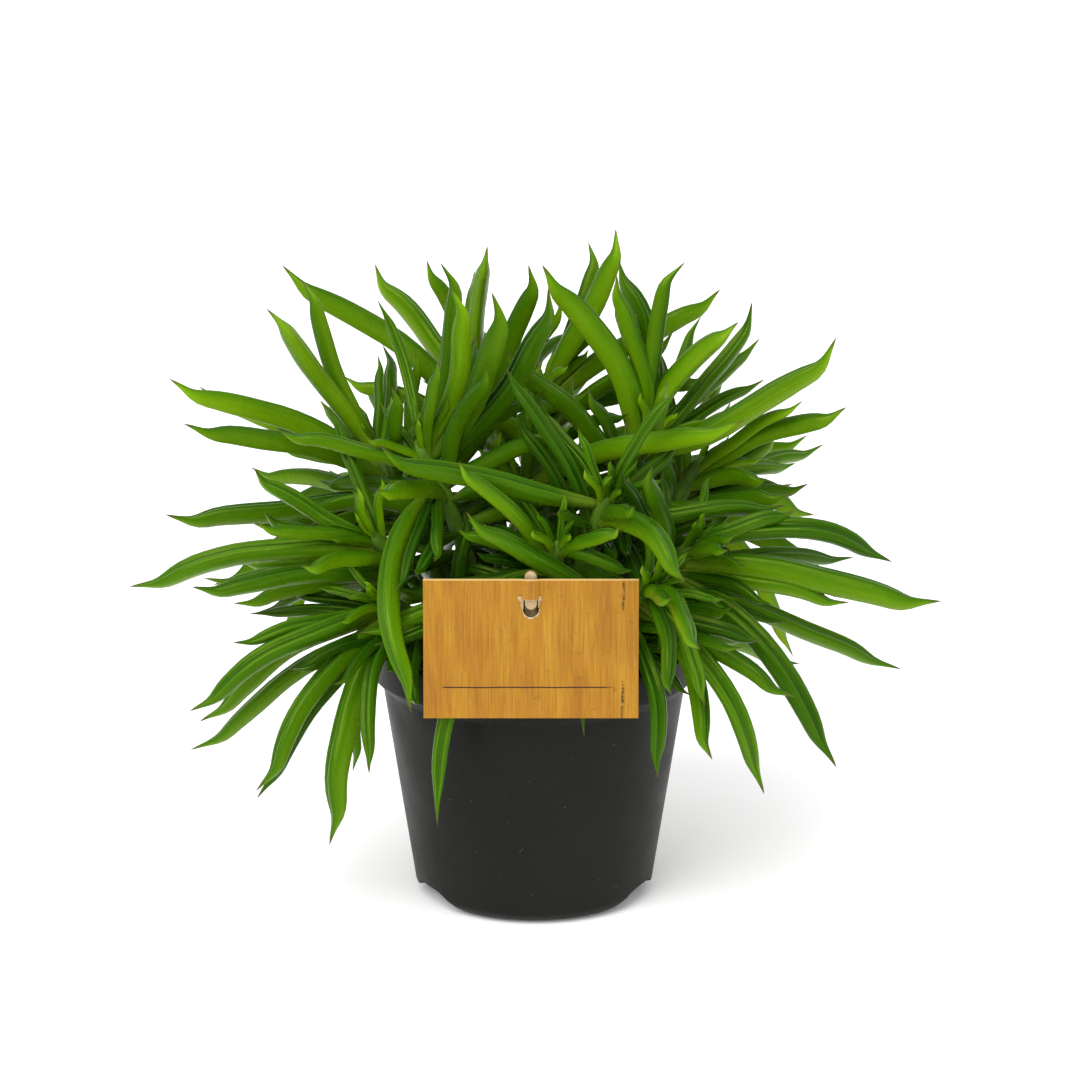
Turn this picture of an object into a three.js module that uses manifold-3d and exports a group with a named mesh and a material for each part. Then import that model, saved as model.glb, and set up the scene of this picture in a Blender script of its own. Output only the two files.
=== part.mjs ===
import * as THREE from "three";
import { mergeVertices } from "three/addons/utils/BufferGeometryUtils.js";
import Module from "manifold-3d";

// Happy bean peperomia in a 12 cm nursery pot, in millimetres, +Z up.
// The origin is the middle of the pot's foot, and -Y is the side with the label.

const wasm = await Module();
wasm.setup();

// Pot
const rimRadius = 60;
const potHeight = 96;
const lipHeight = 11; // plain band round the rim
const shoulderStep = 4; // the wall steps in by this much under the lip, at 45 degrees
const potWall = 1.2;
const lipEdge = 0.4; // small chamfer of the rim
const cornerHeight = 6.2; // the bottom corner is rounded, from this high on the wall
const cornerWidth = 8.7; // and this far in from it
const bodyBottomRadius = 44.5; // wall radius just above the rounded corner
const footInnerRadius = 33.5;
const footThickness = 1.5;
const floorUnderside = 8.5;
const floorTop = 10;
const potSides = 36;
const footGapHeight = 7.7; // shallow arches cut up into the foot ring
const footGapHalf = 15.2; // half the width of an arch, a third of the way up
const footGapFlare = 22; // half its width at the ground
const footGapPower = 3.1; // higher makes the arch squarer
const footGapTurns = [-61.5, 65, 181]; // degrees from the front
const drainHoles = 8;
const drainHoleRadius = 4.5;
const drainCircleRadius = 28;
const drainHoleSides = 12;

// Soil
const soilTop = 84;
const soilHump = 1.2; // height of the uneven surface
const fitGap = 0.3; // clearance between pieces that touch
const stemHoleDepth = 18;
const soilLevelRadius = 50; // the uneven surface keeps inside this
const soilRings = [44, 26];

// Label card and its stake
const cardWidth = 76;
const cardHeight = 49.9;
const cardThickness = 0.6;
const cardCorner = 0.6;
const cardMiddle = { x: -1, bottomY: -68.4, bottomZ: 87.6 };
const cardLean = 6.5; // degrees, top towards the plant
const slotWidth = 5.6;
const slotTopFromEdge = 7.4; // slot's straight top, below the card's top edge
const slotHeight = 6.4;
const stakeWidth = 4.4;
const stakeThickness = 2.2;
const stakeLength = 92;
const stakeLean = 9; // degrees, top away from the plant
const stakeProud = 1.8; // its round top shows this much above the card
const stakePoint = 5; // length of its pointed foot

// Stems and leaves
const stemRadius = 3.2;
const budHeight = 6; // the closed bud that ends a stem
const stemSides = 6;
const leafGirth = 8.2; // widest part of a full-grown pod leaf
const leafStations = [0, 0.22, 0.46, 0.7, 0.86, 0.95]; // of the length, before the tip
const youngStations = [0, 0.3, 0.66, 0.9]; // the same on a smaller leaf
const leafStart = 2; // a leaf starts this far from the middle of its stem
const rimSpread = 0.44; // rim beside the leaf's middle line, per girth
const rimRise = 0.38; // rim above the middle line, per girth
const grooveRise = 0.1; // groove bottom above the middle line, per girth
const keelDrop = 0.5; // keel below the middle line, per girth
const tipHook = 4; // how far the pointed tip hooks up towards the groove
const beadCount = 22; // a leaf is kept clear of its neighbours along this many beads
const rootBeads = 0.12; // this share of a leaf, at its root, may lie close to the holder
const airGap = 0.5;
const bendStep = 0.035; // a leaf in the way is bent aside by this share of its length at a time
const rearReach = 112; // no leaf reaches further back
const goldenAngle = 137.5;
const fillSeed = 41;

const degrees = Math.PI / 180;
const upwards = new THREE.Vector3(0, 0, 1);

// Each stem: where its crown is, how far in its foot stands (share of the crown's reach), its
// placed leaves and how many more fill the crown. A placed leaf is
// [height along the stem, tip x, tip y, tip z, bow, share of the full girth, bow sideways].
const stemPlan = [
  {
    name: "stem_tall_left", crown: [-40, -10, 170], footShare: 0.42, fill: 8,
    leaves: [
      [0.85, -43, -76, 92, 16, 1.05, 8], [1, -34, 0, 238, -5, 0.85], [0.97, -30, -20, 233, -5, 0.95],
      [0.95, -15, -32, 234, -6, 1.15], [0.9, 5, -26, 234, -5, 1.1], [0.75, 1, -28, 165, 2, 0.85],
      [0.8, -35, -58, 142, 3, 0.6], [0.95, -57, 12, 222, -5, 0.65], [0.85, -50, -36, 175, 1, 0.55],
      [0.82, 14, -22, 184, 3, 0.85],
    ],
  },
  {
    name: "stem_front", crown: [26, -40, 160], footShare: 0.4, fill: 8,
    leaves: [
      [0.96, -54, -56, 184, -3, 1.05], [0.85, 53, -80, 141, 13, 1.05],
      [1, 28, -53, 172, 1, 0.6], [1, 2, -24, 190, 1, 0.6], [0.8, 9, -57, 161, 1, 0.5],
    ],
  },
  {
    name: "stem_left", crown: [-57, -25, 141], footShare: 0.48, fill: 8,
    leaves: [
      [0.9, -146, -30, 125, 9, 1.1], [0.72, -122, -48, 130, 3, 0.95], [0.66, -121, -8, 122, 4, 0.85],
      [0.7, -109, -24, 117, 5, 0.8], [0.84, -82, -62, 142, 3, 0.75], [1, -97, -26, 152, -3, 0.8],
      [0.95, -100, -30, 169, -3, 0.85], [1, -63, -46, 167, 1, 0.5],
    ],
  },
  {
    name: "stem_right_front", crown: [56, -30, 139], footShare: 0.5, fill: 8,
    leaves: [
      [0.95, 129, -30, 134, 16, 1.1], [0.88, 146, -42, 123, 5, 1.2], [0.8, 118, 2, 127, 5, 0.8],
      [1, 93, -36, 155, 5, 0.85], [1, 71, -62, 153, 1, 0.55], [0.74, 135, -14, 89, 5, 0.95],
      [0.8, 108, -62, 67, 11, 1.2], [0.66, 88, 14, 118, 3, 0.65],
    ],
  },
  {
    name: "stem_low_left", crown: [-53, -36, 121], footShare: 0.5, fill: 6,
    leaves: [
      [0.85, -73, -68, 40, 13, 1.15], [0.8, -58, -78, 70, 10, 0.8], [0.95, -123, -56, 86, 8, 1.05],
      [0.88, -121, -40, 77, 9, 0.95], [0.8, -126, -24, 61, 6, 0.85], [0.9, -99, -68, 60, 8, 0.95],
      [0.82, -100, -50, 51, 8, 0.95], [0.8, -66, -34, 56, 10, 0.7],
    ],
  },
  {
    name: "stem_low_right", crown: [41, -52, 131], footShare: 0.48, fill: 6,
    leaves: [
      [0.85, 82, -68, 59, 13, 1.05], [0.9, 60, -80, 96, 8, 0.9], [1, 57, -112, 126, 6, 0.8],
      [0.95, 48, -84, 101, 6, 0.8], [0.72, 44, -68, 65, 8, 0.9],
    ],
  },
  {
    name: "stem_upper_left", crown: [-57, 14, 161], footShare: 0.5, fill: 8,
    leaves: [
      [0.94, -132, -4, 196, 5, 1.05], [0.88, -125, -32, 186, 6, 1], [0.8, -135, -4, 145, 1, 1],
      [0.98, -96, -10, 223, 7, 1.05], [1, -85, 18, 228, 3, 0.9], [0.92, -80, 38, 178, 3, 0.7],
      [0.86, -124, 26, 186, 4, 0.85], [1, -58, 34, 196, 1, 0.5],
    ],
  },
  {
    name: "stem_tall_right", crown: [42, 6, 172], footShare: 0.42, fill: 8,
    leaves: [
      [0.9, 3, 0, 237, 10, 1.2], [1, 30, 2, 233, 4, 0.85], [0.97, 31, 18, 235, 9, 0.95],
      [1, 31, 32, 220, 3, 0.6], [1, 55, 6, 237, -4, 0.8], [0.97, 62, 34, 211, -3, 0.65],
      [0.94, 80, 22, 219, -5, 0.85], [0.92, 74, -4, 217, 8, 1.15], [0.86, 84, 36, 202, 4, 0.8],
      [0.88, 109, -6, 212, -4, 1.1], [0.8, -10, -8, 208, 3, 0.95], [0.7, -26, 8, 190, 2, 0.9],
    ],
  },
  {
    name: "stem_front_low", crown: [8, -44, 142], footShare: 0.55, fill: 8,
    leaves: [
      [0.9, -32, -69, 46, 12, 0.9, 12], [0.85, -62, -54, 113, 3, 0.95], [0.8, 18, -66, 80, 9, 0.5],
      [0.8, -27, -50, 152, 4, 0.7], [1, 35, -58, 139, 5, 0.7],
    ],
  },
  {
    name: "stem_right", crown: [60, 16, 157], footShare: 0.56, fill: 8,
    leaves: [
      [0.95, 114, 2, 184, 5, 1], [0.92, 89, 20, 171, -2, 0.8], [0.88, 85, -2, 158, 5, 0.8],
      [0.8, 90, 44, 138, 6, 0.85], [0.9, 98, 36, 154, 4, 0.8],
    ],
  },
  {
    name: "stem_back_left", crown: [-20, 44, 176], footShare: 0.5, fill: 8,
    leaves: [
      [0.9, -94, 50, 227, 5, 1.05], [0.95, -60, 66, 224, 3, 1], [1, -40, 48, 229, 5, 0.9],
      [1, -22, 44, 226, 2, 0.7], [0.97, -17, 26, 239, 6, 0.95], [0.93, -2, 26, 232, 1, 1],
    ],
  },
  {
    name: "stem_back_right", crown: [4, 36, 183], footShare: 0.5, fill: 8,
    leaves: [
      [1, 32, 30, 244, -3, 1.05], [0.97, 20, 48, 236, -3, 0.8], [0.93, 70, 54, 217, 4, 1],
      [1, 13, 14, 197, 1, 0.5], [1, 24, 38, 207, 1, 0.45], [0.88, 67, 52, 185, 4, 0.95],
    ],
  },
  {
    name: "stem_rear_left", crown: [-48, 44, 150], footShare: 0.55, fill: 12,
    leaves: [
      [0.9, -106, 76, 118, 9, 1.05], [0.82, -76, 92, 74, 13, 1.05], [0.78, -122, 46, 104, 8, 0.95],
      [0.95, -66, 100, 148, 6, 0.95], [0.86, -98, 66, 78, 12, 0.9],
    ],
  },
  {
    name: "stem_rear_right", crown: [48, 46, 150], footShare: 0.55, fill: 12,
    leaves: [
      [0.9, 108, 74, 124, 9, 1.05], [0.82, 72, 94, 80, 13, 1.05], [0.78, 124, 44, 98, 8, 0.95],
      [0.95, 70, 98, 154, 6, 0.95], [0.86, 100, 64, 70, 12, 0.9],
    ],
  },
  {
    name: "stem_rear", crown: [0, 54, 144], footShare: 0.6, fill: 12,
    leaves: [
      [0.9, -16, 98, 60, 14, 1.05], [0.82, 26, 100, 82, 12, 1], [0.95, 4, 110, 124, 7, 1.05],
      [0.86, -44, 104, 104, 9, 0.95], [0.88, 46, 106, 118, 8, 0.85],
    ],
  },
  {
    name: "stem_middle", crown: [-4, 6, 152], footShare: 0.4, fill: 12, leaves: [[1, 78, -30, 188, 6, 1, 6]],
  },
];

// Small tools

// Turns one open or closed description of a body into a clean closed geometry.
function closedGeometry(geometry) {
  const bare = geometry.clone();
  bare.deleteAttribute("normal");
  bare.deleteAttribute("uv");
  const merged = mergeVertices(bare, 1e-4);
  const index = merged.getIndex().array;
  const kept = [];
  for (let i = 0; i < index.length; i += 3) {
    const [a, b, c] = [index[i], index[i + 1], index[i + 2]];
    if (a !== b && b !== c && c !== a) kept.push(a, b, c);
  }
  merged.setIndex(kept);
  return signedVolume(merged) < 0 ? turnedOut(merged) : merged;
}

function signedVolume(geometry) {
  const place = geometry.getAttribute("position");
  const index = geometry.getIndex().array;
  const corner = [new THREE.Vector3(), new THREE.Vector3(), new THREE.Vector3()];
  let sum = 0;
  for (let i = 0; i < index.length; i += 3) {
    corner.forEach((c, k) => c.fromBufferAttribute(place, index[i + k]));
    sum += corner[0].dot(corner[1].clone().cross(corner[2])) / 6;
  }
  return sum;
}

function turnedOut(geometry) {
  const index = Array.from(geometry.getIndex().array);
  for (let i = 0; i < index.length; i += 3) {
    [index[i + 1], index[i + 2]] = [index[i + 2], index[i + 1]];
  }
  geometry.setIndex(index);
  return geometry;
}

function toSolid(geometry) {
  const closed = closedGeometry(geometry);
  const mesh = new wasm.Mesh({
    numProp: 3,
    vertProperties: Float32Array.from(closed.getAttribute("position").array),
    triVerts: Uint32Array.from(closed.getIndex().array),
  });
  return new wasm.Manifold(mesh);
}

function fromSolid(solid) {
  const mesh = solid.getMesh();
  const geometry = new THREE.BufferGeometry();
  geometry.setAttribute("position", new THREE.BufferAttribute(mesh.vertProperties, 3));
  geometry.setIndex(Array.from(mesh.triVerts));
  return geometry;
}

function named(name, geometry, colour, roughness, metalness = 0) {
  geometry.computeVertexNormals();
  const material = new THREE.MeshStandardMaterial({ color: colour, roughness, metalness, flatShading: true });
  const mesh = new THREE.Mesh(geometry, material);
  mesh.name = name;
  return mesh;
}

// A body through rings of points, closed by a flat root and by a flat end or a pointed tip.
function loft(rings, tip = null) {
  const sides = rings[0].length;
  const points = rings.flat();
  const faces = [];
  for (let r = 0; r + 1 < rings.length; r++) {
    for (let k = 0; k < sides; k++) {
      const a = r * sides + k;
      const b = r * sides + ((k + 1) % sides);
      faces.push(a, b, b + sides, a, b + sides, a + sides);
    }
  }
  const last = (rings.length - 1) * sides;
  for (let k = 1; k + 1 < sides; k++) faces.push(0, k + 1, k);
  if (tip) {
    points.push(tip);
    for (let k = 0; k < sides; k++) faces.push(last + k, last + ((k + 1) % sides), points.length - 1);
  } else {
    for (let k = 1; k + 1 < sides; k++) faces.push(last, last + k, last + k + 1);
  }
  const geometry = new THREE.BufferGeometry().setFromPoints(points);
  geometry.setIndex(faces);
  return geometry;
}

// A profile of [radius, height] turned about the upright axis.
function turned(profile, sides) {
  const geometry = new THREE.LatheGeometry(profile.map(([r, z]) => new THREE.Vector2(r, z)), sides);
  return geometry.rotateX(90 * degrees);
}

// Seeded draws between 0 and 1
function drawer(seed) {
  let state = seed >>> 0;
  return () => {
    state = (Math.imul(state, 1664525) + 1013904223) >>> 0;
    return state / 4294967296;
  };
}

// Pot

const lipBottom = potHeight - lipHeight;
const shoulderBottom = lipBottom - shoulderStep;
const bodyTopRadius = rimRadius - shoulderStep;

function bodyRadius(z) {
  const share = (z - cornerHeight) / (shoulderBottom - cornerHeight);
  return bodyBottomRadius + (bodyTopRadius - bodyBottomRadius) * share;
}

// Radius of the pot's outside at a height
function potRadius(z) {
  if (z >= lipBottom) return rimRadius;
  if (z >= shoulderBottom) return bodyTopRadius + (z - shoulderBottom);
  return bodyRadius(Math.max(z, 0));
}

// The rounded bottom corner, moved in from the outside by an inset
function cornerArc(inset, steps) {
  const middle = bodyBottomRadius - cornerWidth;
  return Array.from({ length: steps + 1 }, (_, i) => {
    const angle = (i / steps) * 90 * degrees;
    const r = middle + (cornerWidth - inset) * Math.sin(angle);
    return [r, cornerHeight - (cornerHeight - inset) * Math.cos(angle)];
  });
}

function potProfile() {
  const innerLip = rimRadius - potWall;
  const innerStart = bodyRadius(floorUnderside) - footThickness;
  return [
    [0, floorUnderside],
    [innerStart, floorUnderside],
    ...cornerArc(footThickness, 2).reverse(),
    [footInnerRadius, footThickness],
    [footInnerRadius, 0],
    ...cornerArc(0, 4),
    [bodyTopRadius, shoulderBottom],
    [rimRadius, lipBottom],
    [rimRadius, potHeight - lipEdge],
    [rimRadius - lipEdge, potHeight],
    [innerLip, potHeight],
    [innerLip, lipBottom + lipEdge],
    [bodyTopRadius - potWall, shoulderBottom + lipEdge],
    [bodyRadius(floorTop) - potWall, floorTop],
    [0, floorTop],
  ];
}

function footGap(turn) {
  const below = 1;
  const inwards = 9;
  const reach = 24;
  const steps = 18;
  const arch = new THREE.Shape();
  arch.moveTo(-footGapFlare, -below);
  arch.lineTo(footGapFlare, -below);
  for (let i = 0; i <= steps; i++) {
    const x = footGapFlare * (1 - (2 * i) / steps);
    arch.lineTo(x, footGapHeight * Math.exp(-((Math.abs(x) / footGapHalf) ** footGapPower)));
  }
  const geometry = new THREE.ExtrudeGeometry(arch, { depth: reach, bevelEnabled: false });
  geometry.rotateX(90 * degrees);
  geometry.translate(0, inwards - footInnerRadius, 0);
  return geometry.rotateZ(turn * degrees);
}

function drainHole(turn) {
  const height = 4 * (floorTop - floorUnderside);
  const geometry = new THREE.CylinderGeometry(drainHoleRadius, drainHoleRadius, height, drainHoleSides);
  geometry.rotateX(90 * degrees);
  geometry.translate(0, drainCircleRadius, (floorUnderside + floorTop) / 2);
  return geometry.rotateZ(turn * degrees);
}

function makePot() {
  let pot = toSolid(turned(potProfile(), potSides));
  for (const turn of footGapTurns) pot = pot.subtract(toSolid(footGap(turn)));
  for (let i = 0; i < drainHoles; i++) pot = pot.subtract(toSolid(drainHole((i + 0.5) * (360 / drainHoles))));
  return named("pot", fromSolid(pot), 0x2f2f2d, 0.5);
}

// Leaves and stems

// The line of a stem above the soil, from 0 at the soil to 1 at its crown
function stemPoint(stem, share) {
  const foot = new THREE.Vector3(stem.crown[0] * stem.footShare, stem.crown[1] * stem.footShare, soilTop + 3);
  const crown = new THREE.Vector3(...stem.crown);
  const knee = foot.clone().lerp(crown, 0.2);
  knee.z = foot.z + (crown.z - foot.z) * 0.55;
  const rest = 1 - share;
  return foot.multiplyScalar(rest * rest).addScaledVector(knee, 2 * rest * share).addScaledVector(crown, share * share);
}

function stemAxis(stem, share) {
  const step = 0.05;
  const low = Math.min(share, 1 - step);
  return stemPoint(stem, low + step).sub(stemPoint(stem, low)).normalize();
}

function stemRing(middle, axis) {
  const turn = new THREE.Quaternion().setFromUnitVectors(upwards, axis);
  return Array.from({ length: stemSides }, (_, k) => {
    const angle = (k / stemSides) * 360 * degrees;
    const spoke = new THREE.Vector3(Math.cos(angle), Math.sin(angle), 0).multiplyScalar(stemRadius);
    return spoke.applyQuaternion(turn).add(middle);
  });
}

function makeStem(stem) {
  const foot = stemPoint(stem, 0).setZ(soilTop - stemHoleDepth + fitGap);
  const rings = [stemRing(foot, upwards), stemRing(stemPoint(stem, 0), upwards)];
  for (const share of [0.25, 0.5, 0.75, 1]) rings.push(stemRing(stemPoint(stem, share), stemAxis(stem, share)));
  return loft(rings, stemPoint(stem, 1).addScaledVector(stemAxis(stem, 1), budHeight));
}

// Width of a pod leaf along its length, from its narrow root to its drawn-out point
function podShare(t) {
  const rootShare = 0.34;
  const full = 0.32; // full width from here
  const taper = 0.6; // to here
  if (t < full) return rootShare + (1 - rootShare) * Math.sin((t / full) * 90 * degrees);
  if (t < taper) return 1;
  return (1 - ((t - taper) / (1 - taper)) ** 2.5) ** 0.85;
}

// A leaf's frame: its chord, the way it bows, and the way its groove faces. A leaf bows towards
// the stem's tip, so upwards when it is level and inwards when it is upright, and the groove
// faces the same way but for the leaf's own roll.
function leafFrame(leaf) {
  const along = leaf.tip.clone().sub(leaf.root);
  const length = along.length();
  along.normalize();
  const lift = leaf.axis.clone().addScaledVector(along, -leaf.axis.dot(along)).normalize();
  const face = lift.clone().applyAxisAngle(along, leaf.roll * degrees);
  return { along, length, lift, face, side: along.clone().cross(lift) };
}

function leafPoint(leaf, frame, t) {
  const hooked = Math.max(0, (t - 0.78) / 0.22) ** 2;
  const hook = tipHook * Math.min(1, leaf.girth / leafGirth);
  const curve = 4 * t * (1 - t);
  const point = leaf.root.clone().addScaledVector(frame.along, frame.length * t);
  point.addScaledVector(frame.lift, leaf.bow * curve).addScaledVector(frame.side, leaf.sway * curve);
  return point.addScaledVector(frame.face, -hook * (t - hooked));
}

function makeLeaf(leaf) {
  const frame = leafFrame(leaf);
  const stations = leaf.girth > 0.9 * leafGirth ? leafStations : youngStations;
  const rings = stations.map((t) => {
    const middle = leafPoint(leaf, frame, t);
    const ahead = leafPoint(leaf, frame, t + 0.03).sub(leafPoint(leaf, frame, Math.max(0, t - 0.03))).normalize();
    const face = frame.face.clone().addScaledVector(ahead, -frame.face.dot(ahead)).normalize();
    const side = ahead.clone().cross(face);
    const girth = leaf.girth * podShare(t);
    const at = (across, up) => middle.clone().addScaledVector(side, across * girth).addScaledVector(face, up * girth);
    return [at(-rimSpread, rimRise), at(0, grooveRise), at(rimSpread, rimRise), at(0, -keelDrop)];
  });
  return loft(rings, leafPoint(leaf, frame, 1));
}

// Beads along a leaf that stand for it where it is kept clear of its neighbours
function leafBeads(leaf) {
  const frame = leafFrame(leaf);
  const half = frame.length / (beadCount - 1) / 2;
  return Array.from({ length: beadCount }, (_, i) => {
    const t = i / (beadCount - 1);
    const thick = 0.59 * leaf.girth * podShare(t);
    const middle = leafPoint(leaf, frame, t);
    return { x: middle.x, y: middle.y, z: middle.z, r: Math.sqrt(thick * thick + half * half), t };
  });
}

function stemBeads(stem) {
  const count = 16;
  return Array.from({ length: count }, (_, i) => {
    const middle = stemPoint(stem, i / (count - 1));
    return { x: middle.x, y: middle.y, z: middle.z, r: stemRadius + 0.8, t: 1 };
  });
}

// True where a bead would touch the pot, the soil, the floor, the card or the stake, or be too far back
function hitsHolder(bead) {
  const reach = Math.hypot(bead.x, bead.y);
  const room = bead.r + airGap;
  if (bead.z < room || bead.y > rearReach) return true;
  if (bead.z < potHeight + room) {
    const outside = reach - potRadius(bead.z) > room;
    const inside = rimRadius - potWall - reach > room && bead.z - soilTop > room;
    const overRim = Math.hypot(reach - rimRadius, bead.z - potHeight) > room && bead.z > potHeight;
    if (!outside && !inside && !overRim) return true;
  }
  const cardX = Math.max(0, Math.abs(bead.x - cardMiddle.x) - cardWidth / 2);
  const cardZ = Math.max(0, cardMiddle.bottomZ - bead.z, bead.z - cardMiddle.bottomZ - cardHeight);
  const cardY = bead.y - (cardMiddle.bottomY + (bead.z - cardMiddle.bottomZ) * Math.tan(cardLean * degrees));
  if (Math.hypot(cardX, cardY, cardZ) < room + cardThickness / 2) return true;
  const stakeTop = cardMiddle.bottomZ + cardHeight + stakeProud;
  const stakeY = stakeMiddleY(bead.z);
  const overStake = Math.max(0, bead.z - stakeTop);
  return Math.hypot(bead.x - cardMiddle.x, bead.y - stakeY, overStake) < room + stakeWidth / 2;
}

function bent(leaf, lift, turn, shorter) {
  const frame = leafFrame(leaf);
  const way = frame.along.clone().addScaledVector(frame.lift, lift).addScaledVector(frame.side, turn).normalize();
  const tip = leaf.root.clone().addScaledVector(way, frame.length * shorter);
  return { ...leaf, tip };
}

// The ball round a row of beads
function ballRound(beads) {
  const middle = beads[Math.floor(beads.length / 2)];
  const reach = Math.max(...beads.map((b) => Math.hypot(b.x - middle.x, b.y - middle.y, b.z - middle.z) + b.r));
  return { x: middle.x, y: middle.y, z: middle.z, r: reach };
}

function apart(a, b) {
  return Math.hypot(a.x - b.x, a.y - b.y, a.z - b.z) > a.r + b.r + airGap;
}

// True where two rows of beads touch. Leaves of one stem may press together, and meet at their roots.
function touches(beads, other, own) {
  const pressed = 0.55;
  const rootShare = 0.3;
  for (const a of beads) {
    for (const b of other) {
      const near = own ? (a.r + b.r) * pressed : a.r + b.r + airGap;
      if (own && (a.t < rootShare || b.t < rootShare)) continue;
      const [x, y, z] = [a.x - b.x, a.y - b.y, a.z - b.z];
      if (x * x + y * y + z * z < near * near) return true;
    }
  }
  return false;
}

// Bends a leaf clear: tries its own place first, then places round it, further and further out
function settle(leaf, stem, others, rings, tries) {
  for (const shorter of tries) {
    for (let ring = 0; ring <= rings; ring++) {
      const spokes = ring === 0 ? 1 : ring * 6;
      for (let spoke = 0; spoke < spokes; spoke++) {
        const angle = (spoke / spokes) * 360 * degrees;
        const aside = bendStep * ring;
        const trial = bent(leaf, aside * Math.cos(angle), aside * Math.sin(angle), shorter);
        const beads = leafBeads(trial);
        if (beads.some((bead) => bead.t > rootBeads && hitsHolder(bead))) continue;
        const ball = ballRound(beads);
        const near = others.filter((other) => !apart(ball, other.ball));
        if (near.some((other) => touches(beads, other.beads, other.stem === stem))) continue;
        return { leaf: trial, beads, ball, stem };
      }
    }
  }
  return null;
}

function leafRoot(stem, share, tip) {
  const middle = stemPoint(stem, share);
  return middle.clone().addScaledVector(tip.clone().sub(middle).normalize(), leafStart);
}

function placedLeaf(stem, [share, x, y, z, bow, size, sideBow = 0], draw) {
  const tip = new THREE.Vector3(x, y, z);
  return {
    root: leafRoot(stem, share, tip),
    tip,
    axis: stemAxis(stem, share),
    bow,
    sway: sideBow + 3 * (draw() - 0.5),
    roll: 50 * (draw() - 0.5),
    girth: leafGirth * size,
  };
}

// Leaves that fill a crown: round the stem by the golden angle, the youngest short and upright
function fillLeaf(stem, number, draw) {
  const age = 1 - number / stem.fill;
  const share = 1 - 0.5 * age;
  const axis = stemAxis(stem, share);
  const level = new THREE.Vector3(axis.z, 0, -axis.x).normalize();
  level.applyAxisAngle(axis, (number * goldenAngle + stem.crown[0] * 7) * degrees);
  const rise = (68 - 80 * age + 16 * (draw() - 0.5)) * degrees;
  const length = 34 + 50 * Math.sqrt(age) + 8 * (draw() - 0.5);
  const way = level.multiplyScalar(Math.cos(rise)).addScaledVector(axis, Math.sin(rise));
  const tip = stemPoint(stem, share).addScaledVector(way, length);
  return {
    root: leafRoot(stem, share, tip),
    tip,
    axis,
    bow: 2 + 7 * age * draw(),
    sway: 4 * (draw() - 0.5),
    roll: 50 * (draw() - 0.5),
    girth: leafGirth * (0.45 + 0.55 * Math.sqrt(age)),
  };
}

// Every leaf of the plant, each bent clear of what grew before it
function growLeaves() {
  const draw = drawer(fillSeed);
  const grown = stemPlan.map((stem) => {
    const beads = stemBeads(stem);
    return { leaf: null, beads, ball: ballRound(beads), stem };
  });
  for (const stem of stemPlan) {
    for (const row of stem.leaves) {
      const others = grown.filter((item) => item.stem !== stem);
      const settled = settle(placedLeaf(stem, row, draw), stem, others, 9, [1, 0.92]);
      if (settled) grown.push(settled);
    }
  }
  for (const stem of stemPlan) {
    for (let number = 0; number < stem.fill; number++) {
      const settled = settle(fillLeaf(stem, number, draw), stem, grown, 7, [1, 0.8, 0.6]);
      if (settled) grown.push(settled);
    }
  }
  return grown.filter((item) => item.leaf);
}

// Fills the closed hollows left where fused leaves meet
function withoutHollows(solid) {
  const shells = solid.decompose().filter((shell) => shell.volume() > 0);
  return wasm.Manifold.union(shells);
}

function makeLeafyStem(stem, leaves) {
  let solid = toSolid(makeStem(stem));
  for (const leaf of leaves) solid = solid.add(toSolid(makeLeaf(leaf)));
  return named(stem.name, fromSolid(withoutHollows(solid)), 0x4f8a1e, 0.42);
}

// Label

function stakeMiddleY(z) {
  const topZ = cardMiddle.bottomZ + cardHeight + stakeProud;
  const cardTopY = cardMiddle.bottomY + cardHeight * Math.tan(cardLean * degrees);
  const topY = cardTopY + cardThickness / 2 + fitGap + stakeThickness / 2 + 0.1;
  return topY + (topZ - z) * Math.tan(stakeLean * degrees);
}

function makeCard() {
  const [w, h, c] = [cardWidth / 2, cardHeight, cardCorner];
  const outline = new THREE.Shape();
  outline.moveTo(-w + c, 0).lineTo(w - c, 0).lineTo(w, c).lineTo(w, h - c).lineTo(w - c, h);
  outline.lineTo(-w + c, h).lineTo(-w, h - c).lineTo(-w, c);
  const slot = new THREE.Path();
  const slotTop = h - slotTopFromEdge;
  const bend = slotWidth / 2;
  slot.moveTo(-bend, slotTop).lineTo(-bend, slotTop - slotHeight + bend);
  slot.absarc(0, slotTop - slotHeight + bend, bend, Math.PI, 2 * Math.PI, false);
  slot.lineTo(bend, slotTop);
  outline.holes.push(slot);
  const geometry = new THREE.ExtrudeGeometry(outline, {
    depth: cardThickness, bevelEnabled: false, curveSegments: 8,
  });
  geometry.translate(0, 0, -cardThickness / 2);
  geometry.rotateX((90 - cardLean) * degrees);
  geometry.translate(cardMiddle.x, cardMiddle.bottomY, cardMiddle.bottomZ);
  return named("label_card", closedGeometry(geometry), 0xc98a2e, 0.55);
}

function stakeGeometry(clearance) {
  const w = stakeWidth / 2 + clearance;
  const outline = new THREE.Shape();
  const foot = -stakeLength - clearance;
  outline.moveTo(0, foot).lineTo(w, foot + stakePoint);
  outline.lineTo(w, -stakeWidth / 2);
  outline.absarc(0, -stakeWidth / 2, w, 0, Math.PI, false);
  outline.lineTo(-w, foot + stakePoint);
  const depth = stakeThickness + 2 * clearance;
  const geometry = new THREE.ExtrudeGeometry(outline, { depth, bevelEnabled: false, curveSegments: 10 });
  geometry.translate(0, 0, -depth / 2);
  geometry.rotateX((90 + stakeLean) * degrees);
  const topZ = cardMiddle.bottomZ + cardHeight + stakeProud;
  geometry.translate(cardMiddle.x, stakeMiddleY(topZ), topZ);
  return geometry;
}

// Soil

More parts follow.
